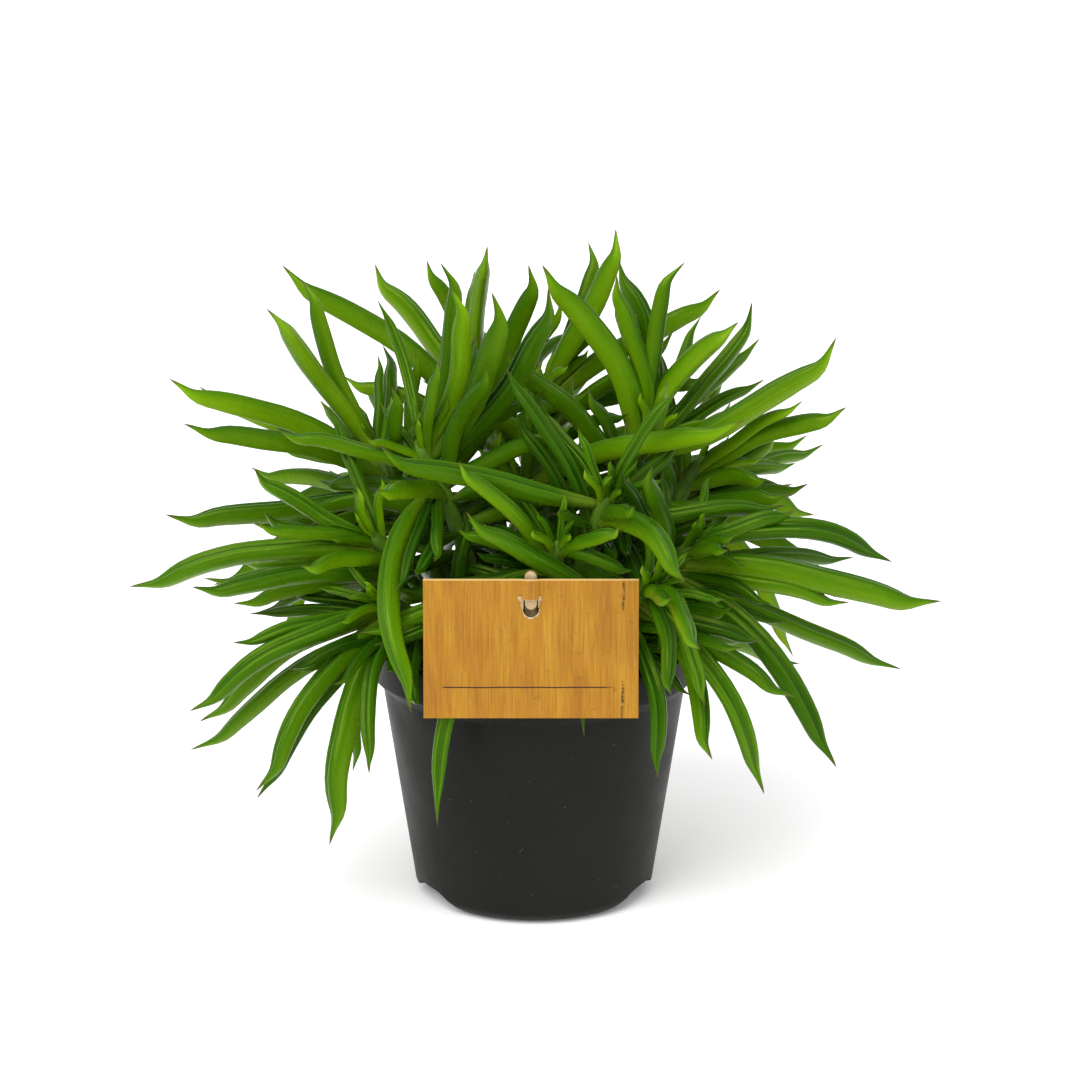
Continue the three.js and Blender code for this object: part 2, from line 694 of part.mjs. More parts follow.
function soilProfile() {
  const top = soilTop - soilHump;
  const shoulder = shoulderBottom + lipEdge; // height where the pot's inside widens
  const shoulderRadius = bodyTopRadius - potWall - 1.5 * fitGap;
  return [
    [0, floorTop + fitGap],
    [bodyRadius(floorTop) - potWall - fitGap, floorTop + fitGap],
    [shoulderRadius, shoulder],
    [shoulderRadius + top - shoulder, top],
    ...soilRings.map((radius) => [radius, top]),
    [0, top],
  ];
}

// A plain hole whose corners line up with the stem's own
function stemHole(stem) {
  const foot = stemPoint(stem, 0);
  const radius = stemRadius + fitGap;
  const height = stemHoleDepth + 10;
  const hole = new THREE.CylinderGeometry(radius, radius, height, stemSides).rotateX(90 * degrees);
  hole.rotateZ((180 / stemSides) * degrees);
  return hole.translate(foot.x, foot.y, soilTop - stemHoleDepth + height / 2);
}

function makeSoil() {
  const geometry = turned(soilProfile(), potSides);
  const place = geometry.getAttribute("position");
  const top = soilTop - soilHump;
  for (let i = 0; i < place.count; i++) {
    const [x, y, z] = [place.getX(i), place.getY(i), place.getZ(i)];
    if (z > top - 0.01 && Math.hypot(x, y) < soilLevelRadius) {
      place.setZ(i, z + soilHump * (0.5 + 0.3 * Math.sin(x / 6) + 0.3 * Math.cos(y / 5 + x / 9)));
    }
  }
  let soil = toSolid(geometry);
  for (const stem of stemPlan) soil = soil.subtract(toSolid(stemHole(stem)));
  soil = soil.subtract(toSolid(stakeGeometry(fitGap)));
  return named("soil", fromSolid(soil), 0x2a2119, 0.95);
}

const plant = new THREE.Group();
plant.add(makePot(), makeSoil(), makeCard());
plant.add(named("label_stake", closedGeometry(stakeGeometry(0)), 0xd9b98a, 0.6));
const leaves = growLeaves();
for (const stem of stemPlan) {
  plant.add(makeLeafyStem(stem, leaves.filter((item) => item.stem === stem).map((item) => item.leaf)));
}

export default plant;
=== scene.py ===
import math
import bmesh
import bpy
import numpy as np
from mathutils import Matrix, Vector


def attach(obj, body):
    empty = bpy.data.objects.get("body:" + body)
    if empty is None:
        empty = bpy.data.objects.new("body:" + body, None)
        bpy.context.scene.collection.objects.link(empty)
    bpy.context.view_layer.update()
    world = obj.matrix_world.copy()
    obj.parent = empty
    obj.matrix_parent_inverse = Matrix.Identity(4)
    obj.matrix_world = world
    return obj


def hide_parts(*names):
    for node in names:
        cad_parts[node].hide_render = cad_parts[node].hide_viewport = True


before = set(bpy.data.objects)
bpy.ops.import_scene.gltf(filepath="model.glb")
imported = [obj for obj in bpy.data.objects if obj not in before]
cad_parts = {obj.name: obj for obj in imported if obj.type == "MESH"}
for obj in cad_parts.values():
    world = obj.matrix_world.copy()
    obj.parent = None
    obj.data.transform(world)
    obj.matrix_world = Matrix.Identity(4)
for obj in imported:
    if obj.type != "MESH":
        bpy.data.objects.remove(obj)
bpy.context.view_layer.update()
print("frame loaded with", len(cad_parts), "nodes")

# Happy bean peperomia in its nursery pot.
# Sizes in the dictionaries are millimetres unless noted, and turn into metres as each mesh is made.
mm = 0.001
degrees = math.pi / 180
scene = bpy.context.scene


# Light of the studio

studioSettings = {
    "floorHalf": 12000,
    "floorShade": 0.96,  # share of the light that the white floor sends back
    "floorMottle": 0.01,
    "floorGlow": 0.08,  # light of its own, that thins the shadows
    "world": 1.0,
    "sunPower": 2.5,
    "sunAngle": 44,  # degrees across, so its shadows are soft
    "sunTurn": (40, -22, 0),  # degrees
    "gain": 1.4,  # how many times brighter than its own colour a surface shows in this light
}


# Camera, where the picture was taken from

cameraSettings = {
    "place": (2.2, -1446.84, 530.01),
    "lookDown": 15.3,  # degrees below level
    "focalPixels": 4087.5,  # focal length, in pixels of a picture as wide as the next value
    "pictureWidth": 1080,
    "sensorWidth": 36,
}


def makeCamera():
    data = bpy.data.cameras.new("camera")
    data.sensor_width = cameraSettings["sensorWidth"]
    data.lens = data.sensor_width * cameraSettings["focalPixels"] / cameraSettings["pictureWidth"]
    viewer = bpy.data.objects.new("camera", data)
    viewer.location = Vector(cameraSettings["place"]) * mm
    viewer.rotation_euler = ((90 - cameraSettings["lookDown"]) * degrees, 0, 0)
    scene.collection.objects.link(viewer)
    scene.camera = viewer


makeCamera()
print("camera placed")


# Small tools for meshes

def newPiece(name, vertices, faces, edges=(), scale=mm):
    mesh = bpy.data.meshes.new(name)
    mesh.from_pydata((np.asarray(vertices, dtype=float) * scale).tolist(), list(edges), faces)
    piece = bpy.data.objects.new(name, mesh)
    scene.collection.objects.link(piece)
    return piece


def removePiece(piece):
    mesh = piece.data
    bpy.data.objects.remove(piece)
    bpy.data.meshes.remove(mesh)


# Turns what a piece's modifiers make of it into its plain mesh
def bake(piece):
    graph = bpy.context.evaluated_depsgraph_get()
    plain = bpy.data.meshes.new_from_object(
        piece.evaluated_get(graph), preserve_all_data_layers=True, depsgraph=graph)
    piece.modifiers.clear()
    old = piece.data
    piece.data = plain
    bpy.data.meshes.remove(old)
    plain.name = piece.name


def cutOut(piece, tool):
    cut = piece.modifiers.new("cut", "BOOLEAN")
    cut.operation = "DIFFERENCE"
    cut.solver = "EXACT"
    cut.object = tool
    bake(piece)
    removePiece(tool)


def smooth(piece, angle):
    mesh = piece.data
    mesh.polygons.foreach_set("use_smooth", [True] * len(mesh.polygons))
    mesh.set_sharp_from_angle(angle=angle * degrees)


# Keeps a number or a vector for each point of a piece
def storeOnPoints(piece, name, values):
    values = np.asarray(values, dtype=np.float32)
    kind, field = ("FLOAT", "value") if values.ndim == 1 else ("FLOAT_VECTOR", "vector")
    piece.data.attributes.new(name, kind, "POINT").data.foreach_set(field, values.ravel())


# A pair of coordinates turned by an angle in degrees
def turned(a, b, angle):
    cosine, sine = math.cos(angle * degrees), math.sin(angle * degrees)
    return a * cosine - b * sine, a * sine + b * cosine


# Rounds every corner of an open profile that has a radius, with a short curve
def roundedProfile(corners, steps):
    mostOfSide = 0.49
    points = []
    for i, (r, z, radius) in enumerate(corners):
        corner = np.array([r, z], dtype=float)
        if not radius or i in (0, len(corners) - 1):
            points.append(corner)
            continue
        before = np.array(corners[i - 1][:2]) - corner
        after = np.array(corners[i + 1][:2]) - corner
        start = corner + before * min(radius / np.linalg.norm(before), mostOfSide)
        end = corner + after * min(radius / np.linalg.norm(after), mostOfSide)
        for t in np.linspace(0, 1, steps + 1):
            points.append(start * (1 - t) ** 2 + corner * 2 * t * (1 - t) + end * t ** 2)
    return points


# A profile of (radius, height) turned about the upright axis. A radius of 0 closes it with one point.
def turnedSurface(profile, sides):
    vertices, faces, rings = [], [], []
    for r, z in profile:
        if not r:
            rings.append([len(vertices)] * sides)
            vertices.append((0, 0, z))
            continue
        rings.append(list(range(len(vertices), len(vertices) + sides)))
        for k in range(sides):
            angle = 2 * math.pi * k / sides
            vertices.append((r * math.cos(angle), r * math.sin(angle), z))
    for low, high in zip(rings, rings[1:]):
        for k in range(sides):
            j = (k + 1) % sides
            face = list(dict.fromkeys([low[k], low[j], high[j], high[k]]))
            if len(face) > 2:
                faces.append(face)
    return vertices, faces


# An outline of (x, z) points pushed through from one y to another
def pushedOutline(outline, near, far):
    count = len(outline)
    vertices = [(x, near, z) for x, z in outline] + [(x, far, z) for x, z in outline]
    faces = [list(range(count)), list(range(2 * count - 1, count - 1, -1))]
    for k in range(count):
        j = (k + 1) % count
        faces.append([j, k, k + count, j + count])
    return vertices, faces


# A thin sheet with two sides: place gives the point for shares across and along it, and a side of -1 or 1
def thinSheet(name, acrossShares, alongShares, place):
    vertices, faces = [], []
    for side in (1, -1):
        for along in alongShares:
            vertices.extend(place(across, along, side) for across in acrossShares)
    columns, rows = len(acrossShares), len(alongShares)
    sheet = columns * rows
    for j in range(rows - 1):
        for i in range(columns - 1):
            a = j * columns + i
            b = a + columns
            faces.append([a, a + 1, b + 1, b])
            faces.append([sheet + a, sheet + b, sheet + b + 1, sheet + a + 1])
    edge = list(range(columns)) + [j * columns + columns - 1 for j in range(1, rows)]
    edge += [(rows - 1) * columns + i for i in range(columns - 2, -1, -1)]
    edge += [j * columns for j in range(rows - 2, 0, -1)]
    for a, b in zip(edge, edge[1:] + edge[:1]):
        faces.append([b, a, a + sheet, b + sheet])
    return newPiece(name, vertices, faces)


# Adds the meshes of other pieces to a piece
def joinPieces(piece, others):
    mesh = bmesh.new()
    mesh.from_mesh(piece.data)
    for other in others:
        mesh.from_mesh(other.data)
        removePiece(other)
    mesh.to_mesh(piece.data)
    mesh.free()


# Small tools for node trees

def pick(sockets, name):
    if isinstance(name, int):
        return sockets[name]
    return next(s for s in sockets if s.name == name and s.enabled)


# Adds a node: settings are its options, inputs are values or the sockets that feed it
def add(tree, kind, inputs=None, **settings):
    node = tree.nodes.new(kind)
    for key, value in settings.items():
        setattr(node, key, value)
    for name, value in (inputs or {}).items():
        socket = pick(node.inputs, name)
        if isinstance(value, bpy.types.NodeSocket):
            tree.links.new(value, socket)
        else:
            socket.default_value = value
    return node


def compute(tree, operation, a, b=0.0):
    return add(tree, "ShaderNodeMath", {0: a, 1: b}, operation=operation).outputs[0]


def product(tree, first, *others):
    for other in others:
        first = compute(tree, "MULTIPLY", first, other)
    return first


def computeVector(tree, operation, a, b=(0, 0, 0)):
    return add(tree, "ShaderNodeVectorMath", {0: a, 1: b}, operation=operation).outputs["Vector"]


def scaled(tree, vector, amount):
    node = add(tree, "ShaderNodeVectorMath", {0: vector, "Scale": amount}, operation="SCALE")
    return node.outputs["Vector"]


def spread(tree, value, low, high, toLow=0.0, toHigh=1.0, kind="LINEAR"):
    return add(tree, "ShaderNodeMapRange", {
        "Value": value, "From Min": low, "From Max": high, "To Min": toLow, "To Max": toHigh,
    }, interpolation_type=kind).outputs[0]


# Reflectance that shows as a colour of the picture under the studio's light, by the usual curve of screens
def linear(rgb):
    parts = [c / 255 for c in rgb]
    parts = [c / 12.92 if c <= 0.04045 else ((c + 0.055) / 1.055) ** 2.4 for c in parts]
    return (*(c / studioSettings["gain"] for c in parts), 1.0)


def ramp(tree, value, stops):
    node = add(tree, "ShaderNodeValToRGB", {"Fac": value})
    band = node.color_ramp
    while len(band.elements) < len(stops):
        band.elements.new(1.0)
    for element, (place, rgb) in zip(band.elements, stops):
        element.position = place
        element.color = linear(rgb)
    return node.outputs["Color"]


def mixed(tree, share, a, b):
    node = add(tree, "ShaderNodeMix", {"Factor": share, "A": a, "B": b}, data_type="RGBA")
    return next(s for s in node.outputs if s.enabled)


def attribute(tree, name):
    return add(tree, "ShaderNodeAttribute", attribute_name=name).outputs["Fac"]


def noise(tree, place, scale, detail=2.0, roughness=0.5, distortion=0.0):
    return add(tree, "ShaderNodeTexNoise", {
        "Vector": place, "Scale": scale, "Detail": detail, "Roughness": roughness, "Distortion": distortion,
    }).outputs["Fac"]


def stretched(tree, place, scale):
    return computeVector(tree, "MULTIPLY", place, scale)


# Roughness that wanders a little round an even value
def unevenRoughness(tree, place, even, scale, detail):
    smoother, rougher = 0.06, 0.08
    patches = noise(tree, place, scale=scale, detail=detail)
    return spread(tree, patches, 0.3, 0.7, even - smoother, even + rougher)


def newMaterial(name):
    material = bpy.data.materials.new(name)
    material.use_nodes = True
    tree = material.node_tree
    tree.nodes.clear()
    surface = add(tree, "ShaderNodeBsdfPrincipled")
    output = add(tree, "ShaderNodeOutputMaterial")
    tree.links.new(surface.outputs["BSDF"], output.inputs["Surface"])
    place = add(tree, "ShaderNodeTexCoord").outputs["Object"]
    return material, tree, surface, place


def finishSurface(tree, surface, colour, roughness, height=None, depth=0.0, **constants):
    tree.links.new(colour, surface.inputs["Base Color"])
    if isinstance(roughness, bpy.types.NodeSocket):
        tree.links.new(roughness, surface.inputs["Roughness"])
    else:
        surface.inputs["Roughness"].default_value = roughness
    if height is not None:
        bump = add(tree, "ShaderNodeBump", {"Height": height, "Distance": depth * mm})
        tree.links.new(bump.outputs["Normal"], surface.inputs["Normal"])
    for name, value in constants.items():
        surface.inputs[name.replace("_", " ")].default_value = value


def newTree(name, inputs):
    tree = bpy.data.node_groups.new(name, "GeometryNodeTree")
    tree.is_modifier = True
    tree.interface.new_socket("Geometry", in_out="INPUT", socket_type="NodeSocketGeometry")
    for label, kind in inputs.items():
        tree.interface.new_socket(label, in_out="INPUT", socket_type="NodeSocket" + kind)
    tree.interface.new_socket("Geometry", in_out="OUTPUT", socket_type="NodeSocketGeometry")
    return tree, add(tree, "NodeGroupInput").outputs


# Puts a tree on a piece, sets its inputs by identifier, and keeps the mesh it makes
def applyTree(piece, tree, values):
    modifier = piece.modifiers.new(tree.name, "NODES")
    modifier.node_group = tree
    for item in tree.interface.items_tree:
        if item.in_out == "INPUT" and item.name in values:
            modifier[item.identifier] = values[item.name]
    bake(piece)


def named(tree, name, kind="FLOAT"):
    node = add(tree, "GeometryNodeInputNamedAttribute", {"Name": name}, data_type=kind)
    return pick(node.outputs, "Attribute")


# Moves the points of a shape in random ways, each by up to about half the amount
def roughened(tree, shape, amount, pattern, **settings):
    lumps = add(tree, "ShaderNodeTexNoise", pattern, **settings).outputs["Color"]
    push = scaled(tree, computeVector(tree, "SUBTRACT", lumps, (0.5, 0.5, 0.5)), amount)
    return add(tree, "GeometryNodeSetPosition", {"Geometry": shape, "Offset": push}).outputs[0]


def coated(tree, shape, material):
    return add(tree, "GeometryNodeSetMaterial", {"Geometry": shape, "Material": material}).outputs[0]


def joined(tree, *shapes):
    node = add(tree, "GeometryNodeJoinGeometry")
    for shape in shapes:
        tree.links.new(shape, node.inputs[0])
    return node.outputs[0]


def declare(piece, node):
    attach(piece, "root")
    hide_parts(node)


# Materials

leafColours = {
    "belly": [  # from the keel to the rim, by the share of the way round
        (0.0, (108, 152, 18)), (0.06, (106, 151, 12)), (0.2, (104, 150, 8)), (0.38, (88, 138, 4)),
        (0.55, (62, 113, 3)), (0.7, (48, 98, 4)),
    ],
    "window": [  # from the rim to the middle of the groove
        (0.71, (48, 98, 5)), (0.745, (68, 118, 14)), (0.76, (66, 115, 12)), (0.79, (44, 94, 6)),
        (0.9, (40, 89, 5)), (1.0, (38, 86, 4)),
    ],
    "windowStart": (0.69, 0.72),
    "wander": 0.06,  # how unevenly the belly's colours run
    "streak": (128, 162, 34),
    "streakPattern": (14.0, 3.0, 40.0),  # how fine it is round the leaf, along it, and from leaf to leaf
    "streakFade": (0.5, 0.8, 0, 0.28),  # each fade: where it begins and ends, and the shares shown there
    "root": (132, 150, 44),
    "rootFade": (0.2, 0.0, 0, 0.6),
    "tip": (84, 70, 40),
    "tipFade": (0.94, 0.99, 0, 1),
    "tones": (0.42, 1.3),  # brightness of the darkest leaf, and of the brightest; the darkest are mostly inner leaves, darkened as painted shade
    "hues": (0.515, 0.488),  # their turn of hue, where 0.5 is none
    "roughness": 0.3,
    "shine": 0.28,
    "sheen": (0.85, 1.0, 0.15, 1.0),
    "bumps": 0.25,  # depth
    "glow": 0.08,  # share of the light that passes through the flesh, its reach in metres and its colour
    "glowReach": 0.0015,
    "glowColour": (0.6, 1.0, 0.2),
    "stem": [(0.3, (70, 112, 14)), (0.7, (96, 140, 24))],
    "bark": (74, 92, 24),
    "barkFade": (0.52, 0.75),
}


def makeLeafMaterial():
    look = leafColours
    material, tree, surface, place = newMaterial("leaf")
    across, along, tone = (attribute(tree, name) for name in ("across", "along", "tone"))
    uneven = spread(tree, noise(tree, place, scale=60, detail=3), 0, 1, -look["wander"], look["wander"])
    skin = ramp(tree, compute(tree, "ADD", across, uneven), look["belly"])
    window = ramp(tree, across, look["window"])
    shown = mixed(tree, spread(tree, across, *look["windowStart"]), skin, window)
    flow = [product(tree, part, fine) for part, fine in zip((across, along, tone), look["streakPattern"])]
    flow = add(tree, "ShaderNodeCombineXYZ", dict(enumerate(flow))).outputs[0]
    streaks = spread(tree, noise(tree, flow, scale=1, detail=3), *look["streakFade"])
    shown = mixed(tree, streaks, shown, linear(look["streak"]))
    shown = mixed(tree, spread(tree, along, *look["rootFade"]), shown, linear(look["root"]))
    # darker for low tones, which are random tone and, on the inner leaves, painted shade
    shown = add(tree, "ShaderNodeHueSaturation", {
        "Color": shown, "Value": spread(tree, tone, 0, 1, *look["tones"]),
        "Hue": spread(tree, tone, 0, 1, *look["hues"]),
    }).outputs["Color"]
    shown = mixed(tree, spread(tree, along, *look["tipFade"]), shown, linear(look["tip"]))
    rough = unevenRoughness(tree, place, look["roughness"], scale=140, detail=2)
    finishSurface(
        tree, surface, shown, rough, noise(tree, place, scale=220, detail=3), look["bumps"],
        Subsurface_Weight=look["glow"], Subsurface_Scale=look["glowReach"],
        Subsurface_Radius=look["glowColour"], Specular_IOR_Level=look["shine"], Specular_Tint=look["sheen"])
    return material


def makeStemMaterial():
    material, tree, surface, place = newMaterial("stem")
    patches = noise(tree, stretched(tree, place, (1, 1, 0.3)), scale=160, detail=3)
    colour = ramp(tree, patches, leafColours["stem"])
    brown = spread(tree, noise(tree, place, scale=90, detail=3), *leafColours["barkFade"])
    colour = mixed(tree, brown, colour, linear(leafColours["bark"]))
    finishSurface(tree, surface, colour, roughness=0.55, height=patches, depth=0.4, Specular_IOR_Level=0.3)
    return material


potColours = {
    "plastic": [(0.3, (20, 21, 17)), (0.7, (30, 31, 25))],
    "speck": (84, 84, 78),
    "speckFine": 520.0,
    "speckSize": (0.16, 0.1),
    "speckPatches": (0.62, 0.7),  # the specks show where a slow pattern is higher than this
    "roughness": 0.46,
    "shine": 0.12,
    "bumps": 0.06,
}


def makePotMaterial():
    look = potColours
    material, tree, surface, place = newMaterial("potPlastic")
    colour = ramp(tree, noise(tree, place, scale=14, detail=4), look["plastic"])
    specks = add(tree, "ShaderNodeTexVoronoi", {"Vector": place, "Scale": look["speckFine"]})
    some = spread(tree, noise(tree, place, scale=300, detail=1), *look["speckPatches"])
    dots = product(tree, spread(tree, specks.outputs["Distance"], *look["speckSize"]), some)
    colour = mixed(tree, dots, colour, linear(look["speck"]))
    rough = unevenRoughness(tree, place, look["roughness"], scale=60, detail=3)
    bumps = noise(tree, place, scale=700, detail=2)
    finishSurface(tree, surface, colour, rough, bumps, look["bumps"], Specular_IOR_Level=look["shine"])
    return material


def makeSoilMaterial(name, dark, light, fine):
    material, tree, surface, place = newMaterial(name)
    grains = noise(tree, place, scale=fine, detail=6, roughness=0.65)
    colour = ramp(tree, grains, [(0.3, dark), (0.62, light)])
    finishSurface(tree, surface, colour, roughness=0.95, height=grains, depth=1.2)
    return material


def makeCardMaterial():
    look = cardSettings
    material, tree, surface, place = newMaterial("cardPrint")
    uv = add(tree, "ShaderNodeUVMap", uv_map="print").outputs["UV"]
    parts = add(tree, "ShaderNodeSeparateXYZ", {"Vector": uv}).outputs
    across, up = parts["X"], parts["Y"]

    def streaks(sideways, upwards, detail, roughness=0.5):
        return noise(tree, stretched(tree, uv, (sideways, upwards, 1)), 1, detail, roughness)

    # Distance to a line of the print that wanders by a little
    def offLine(value, line, pattern, wander):
        line = compute(tree, "ADD", line, spread(tree, pattern, 0.3, 0.7, -wander, wander))
        return compute(tree, "ABSOLUTE", compute(tree, "SUBTRACT", value, line))

    wood = ramp(tree, streaks(9, 1.2, 3), look["wood"])
    for pattern, fade, colour in look["layers"]:
        wood = mixed(tree, spread(tree, streaks(*pattern), *fade), wood, linear(colour))
    crooked = streaks(0.1, 7, 4)
    broken = streaks(4, 26, 3, 0.7)
    for at, width, low, high, strength in look["cracks"]:
        shown = product(
            tree, spread(tree, offLine(across, at, crooked, 0.006), width, width * 0.25),
            spread(tree, up, low - look["crackEnd"], low), spread(tree, up, high + look["crackEnd"], high),
            spread(tree, broken, 0.4, 0.58, 0.15, strength))
        wood = mixed(tree, shown, wood, linear(look["crack"]))
    level, thick, start, end = look["rule"]
    inRule = product(
        tree, spread(tree, offLine(up, level, streaks(6, 0.1, 2), -0.002), thick, thick * 0.5),
        spread(tree, across, start - 0.01, start), spread(tree, across, end + 0.06, end))
    wood = mixed(tree, inRule, wood, linear(look["crack"]))
    # painted highlight: a pale line along the card's top edge
    wood = mixed(tree, spread(tree, up, *look["topHighlightFade"]), wood, linear(look["edge"]))
    paper = ramp(tree, noise(tree, place, scale=160, detail=3), look["paper"])
    colour = mixed(tree, attribute(tree, "front"), paper, wood)
    bumps = noise(tree, place, scale=500, detail=2)
    finishSurface(
        tree, surface, colour, roughness=0.5, height=bumps, depth=0.05, Specular_IOR_Level=0.25)
    return material


def makeWoodMaterial():
    material, tree, surface, place = newMaterial("stakeWood")
    along = stretched(tree, place, (1, 1, 0.06))
    grain = noise(tree, along, scale=700, detail=4, roughness=0.6, distortion=0.4)
    colour = ramp(tree, grain, stakeSettings["wood"])
    finishSurface(tree, surface, colour, roughness=0.62, height=grain, depth=0.15)
    return material


# Pot

potSettings = {
    "rimRadius": 60,
    "height": 96,
    "lipHeight": 11,  # plain band round the rim
    "shoulderStep": 4,
    "wall": 1.2,
    "lipEdge": 0.4,
    "bend": 1.0,  # radius of the bends of its wall
    "footEdge": 0.4,
    "lipUnderEdge": 0.7,
    "rimEdge": 0.52,
    "cornerHeight": 6.2,  # the rounded bottom corner reaches this high, and this far in
    "cornerWidth": 8.7,
    "bodyBottomRadius": 44.5,
    "footInnerRadius": 33.5,
    "footThickness": 1.5,
    "floorUnderside": 8.5,
    "floorTop": 10,
    "sides": 144,
    "gapTurns": (-61.5, 65, 181),  # degrees from the front
    "gapHeight": 7.7,
    "gapHalf": 15.2,  # half the width of an arch, a third of the way up
    "gapFlare": 22,  # half its width at the ground
    "gapPower": 3.1,  # higher makes the arch squarer
    "gapSteps": 55,
    "gapInwards": 9,  # from the foot ring's inner side
    "gapOutwards": 15,
    "holes": 8,
    "holeRadius": 4.5,
    "holeCircle": 28,
}
lipBottom = potSettings["height"] - potSettings["lipHeight"]
shoulderBottom = lipBottom - potSettings["shoulderStep"]
bodyTopRadius = potSettings["rimRadius"] - potSettings["shoulderStep"]


def bodyRadius(z):
    share = (z - potSettings["cornerHeight"]) / (shoulderBottom - potSettings["cornerHeight"])
    return potSettings["bodyBottomRadius"] + (bodyTopRadius - potSettings["bodyBottomRadius"]) * share


# Adds the vertices and faces of one cutter, turned about the upright axis, to all of them
def addCutter(cutters, shape, turn):
    base = len(cutters[0])
    cutters[0].extend((*turned(x, y, turn), z) for x, y, z in shape[0])
    cutters[1].extend([base + i for i in face] for face in shape[1])


def makePot():
    sizes = potSettings
    rim, top, wall, bend = sizes["rimRadius"], sizes["height"], sizes["wall"], sizes["bend"]
    wide, high = sizes["cornerWidth"], sizes["cornerHeight"]
    foot, under, inside = sizes["footThickness"], sizes["floorUnderside"], sizes["floorTop"]
    footInner, footEdge, rimEdge = sizes["footInnerRadius"], sizes["footEdge"], sizes["rimEdge"]
    middle = sizes["bodyBottomRadius"] - wide

    # The rounded bottom corner, moved in from the outside by an inset
    def cornerArc(inset, steps):
        turns = np.linspace(0, 90, steps + 1) * degrees
        return [
            (middle + (wide - inset) * math.sin(a), high - (high - inset) * math.cos(a), 0) for a in turns]

    corners = [
        (0, under, 0),
        (bodyRadius(under) - foot, under, bend),
        *reversed(cornerArc(foot, steps=6)),
        (footInner, foot, footEdge),
        (footInner, 0, footEdge),
        *cornerArc(0, steps=10),
        (bodyTopRadius, shoulderBottom, bend),
        (rim, lipBottom, sizes["lipUnderEdge"]),
        (rim, top, rimEdge),
        (rim - wall, top, rimEdge),
        (rim - wall, lipBottom + sizes["lipEdge"], bend),
        (bodyTopRadius - wall, shoulderBottom + sizes["lipEdge"], bend),
        (bodyRadius(inside) - wall, inside, bend),
        (0, inside, 0),
    ]
    profile = roundedProfile(corners, steps=4)
    pot = newPiece("pot_shell", *turnedSurface(profile, sizes["sides"]))
    flare, half, power, below = sizes["gapFlare"], sizes["gapHalf"], sizes["gapPower"], -1
    arch = [(-flare, below), (flare, below)]
    for x in np.linspace(flare, -flare, sizes["gapSteps"]):
        arch.append((x, sizes["gapHeight"] * math.exp(-((abs(x) / half) ** power))))
    cutters = [], []
    notch = pushedOutline(arch, -(footInner + sizes["gapOutwards"]), -(footInner - sizes["gapInwards"]))
    for turn in sizes["gapTurns"]:
        addCutter(cutters, notch, turn)
    past, holeSides = 2, 32
    low, high = under - past, inside + past
    hole = [(0, low), (sizes["holeRadius"], low), (sizes["holeRadius"], high), (0, high)]
    vertices, faces = turnedSurface(hole, holeSides)
    vertices = [(x, y + sizes["holeCircle"], z) for x, y, z in vertices]
    for i in range(sizes["holes"]):
        addCutter(cutters, (vertices, faces), (i + 0.5) * 360 / sizes["holes"])
    cutOut(pot, newPiece("potCutter", *cutters))
    smooth(pot, angle=40)
    pot.data.materials.append(makePotMaterial())
    declare(pot, "pot")


makePot()
print("pot made")


# Soil

soilSettings = {
    "top": 84,
    "hump": 1.2,  # height of the uneven surface
    "humpWaves": (6, 5, 9),  # how long its waves are
    "grit": 0.35,
    "gritWaves": (1.1, 0.7, 1.3, 0.4),  # how close together they are
    "levelEdge": 6,  # the surface grows level over this much beside the pot's wall
    "gap": 0.3,
    "shoulderGap": 0.45,  # it stands this much off the pot's shoulder
    "sides": 96,
    "rings": 30,
    "scatterMargin": 3,  # no crumb lies nearer to the pot's wall
    "seed": 5,
    "colours": ((16, 12, 9), (52, 38, 28), 420),  # dark, light, and how fine the grains are
    # what lies on top: pieces per square metre, their least and most size in metres, and their colours
    "scatters": [
        ("crumb", 230000, 0.0005, 0.0016, ((20, 14, 10), (70, 50, 36), 500)),
        ("perlite", 7000, 0.0008, 0.0018, ((188, 182, 168), (226, 222, 212), 900)),
    ],
}


# Soil surface scattered with crumbs: the part of the surface where the attribute "open" is set
def makeCrumbTree():
    tree, given = newTree("scatterCrumbs", {
        "Density": "Float", "Smallest": "Float", "Largest": "Float", "Seed": "Int", "Material": "Material",
    })
    spots = add(tree, "GeometryNodeDistributePointsOnFaces", {
        "Mesh": given["Geometry"], "Selection": compute(tree, "GREATER_THAN", named(tree, "open"), 0.5),
        "Density": given["Density"], "Seed": given["Seed"],
    })

    def anyBetween(least, most, kind="FLOAT_VECTOR"):
        between = {"Min": least, "Max": most, "Seed": given["Seed"]}
        return pick(add(tree, "FunctionNodeRandomValue", between, data_type=kind).outputs, "Value")

    ball = add(tree, "GeometryNodeMeshIcoSphere", {"Radius": 1.0, "Subdivisions": 1}).outputs["Mesh"]
    place = add(tree, "GeometryNodeInputPosition").outputs[0]
    grain = roughened(tree, ball, amount=1.6, pattern={"Vector": place, "Scale": 1.3, "Detail": 2.0})
    wholeTurn, slimmest, broadest = (6.28, 6.28, 6.28), (0.7, 0.7, 0.5), (1.3, 1.3, 0.9)
    turn = anyBetween((0, 0, 0), wholeTurn)
    size = anyBetween(given["Smallest"], given["Largest"], "FLOAT")
    shape = anyBetween(slimmest, broadest)
    crumbs = add(tree, "GeometryNodeInstanceOnPoints", {
        "Points": spots.outputs["Points"], "Instance": grain,
        "Rotation": turn, "Scale": scaled(tree, shape, size),
    }).outputs[0]
    crumbs = add(tree, "GeometryNodeRealizeInstances", {"Geometry": crumbs}).outputs[0]
    both = joined(tree, coated(tree, crumbs, given["Material"]), given["Geometry"])
    add(tree, "NodeGroupOutput", {"Geometry": both})
    return tree


# How far the soil stands above its lowest level
def soilWaves(x, y):
    first, second, third = soilSettings["humpWaves"]
    hump = soilSettings["hump"] * (0.5 + 0.3 * np.sin(x / first) + 0.3 * np.cos(y / second + x / third))
    first, second, third, fourth = soilSettings["gritWaves"]
    grit = soilSettings["grit"] * np.sin(x * first + 2 * np.sin(y * second)) * np.cos(y * third + x * fourth)
    return hump + grit


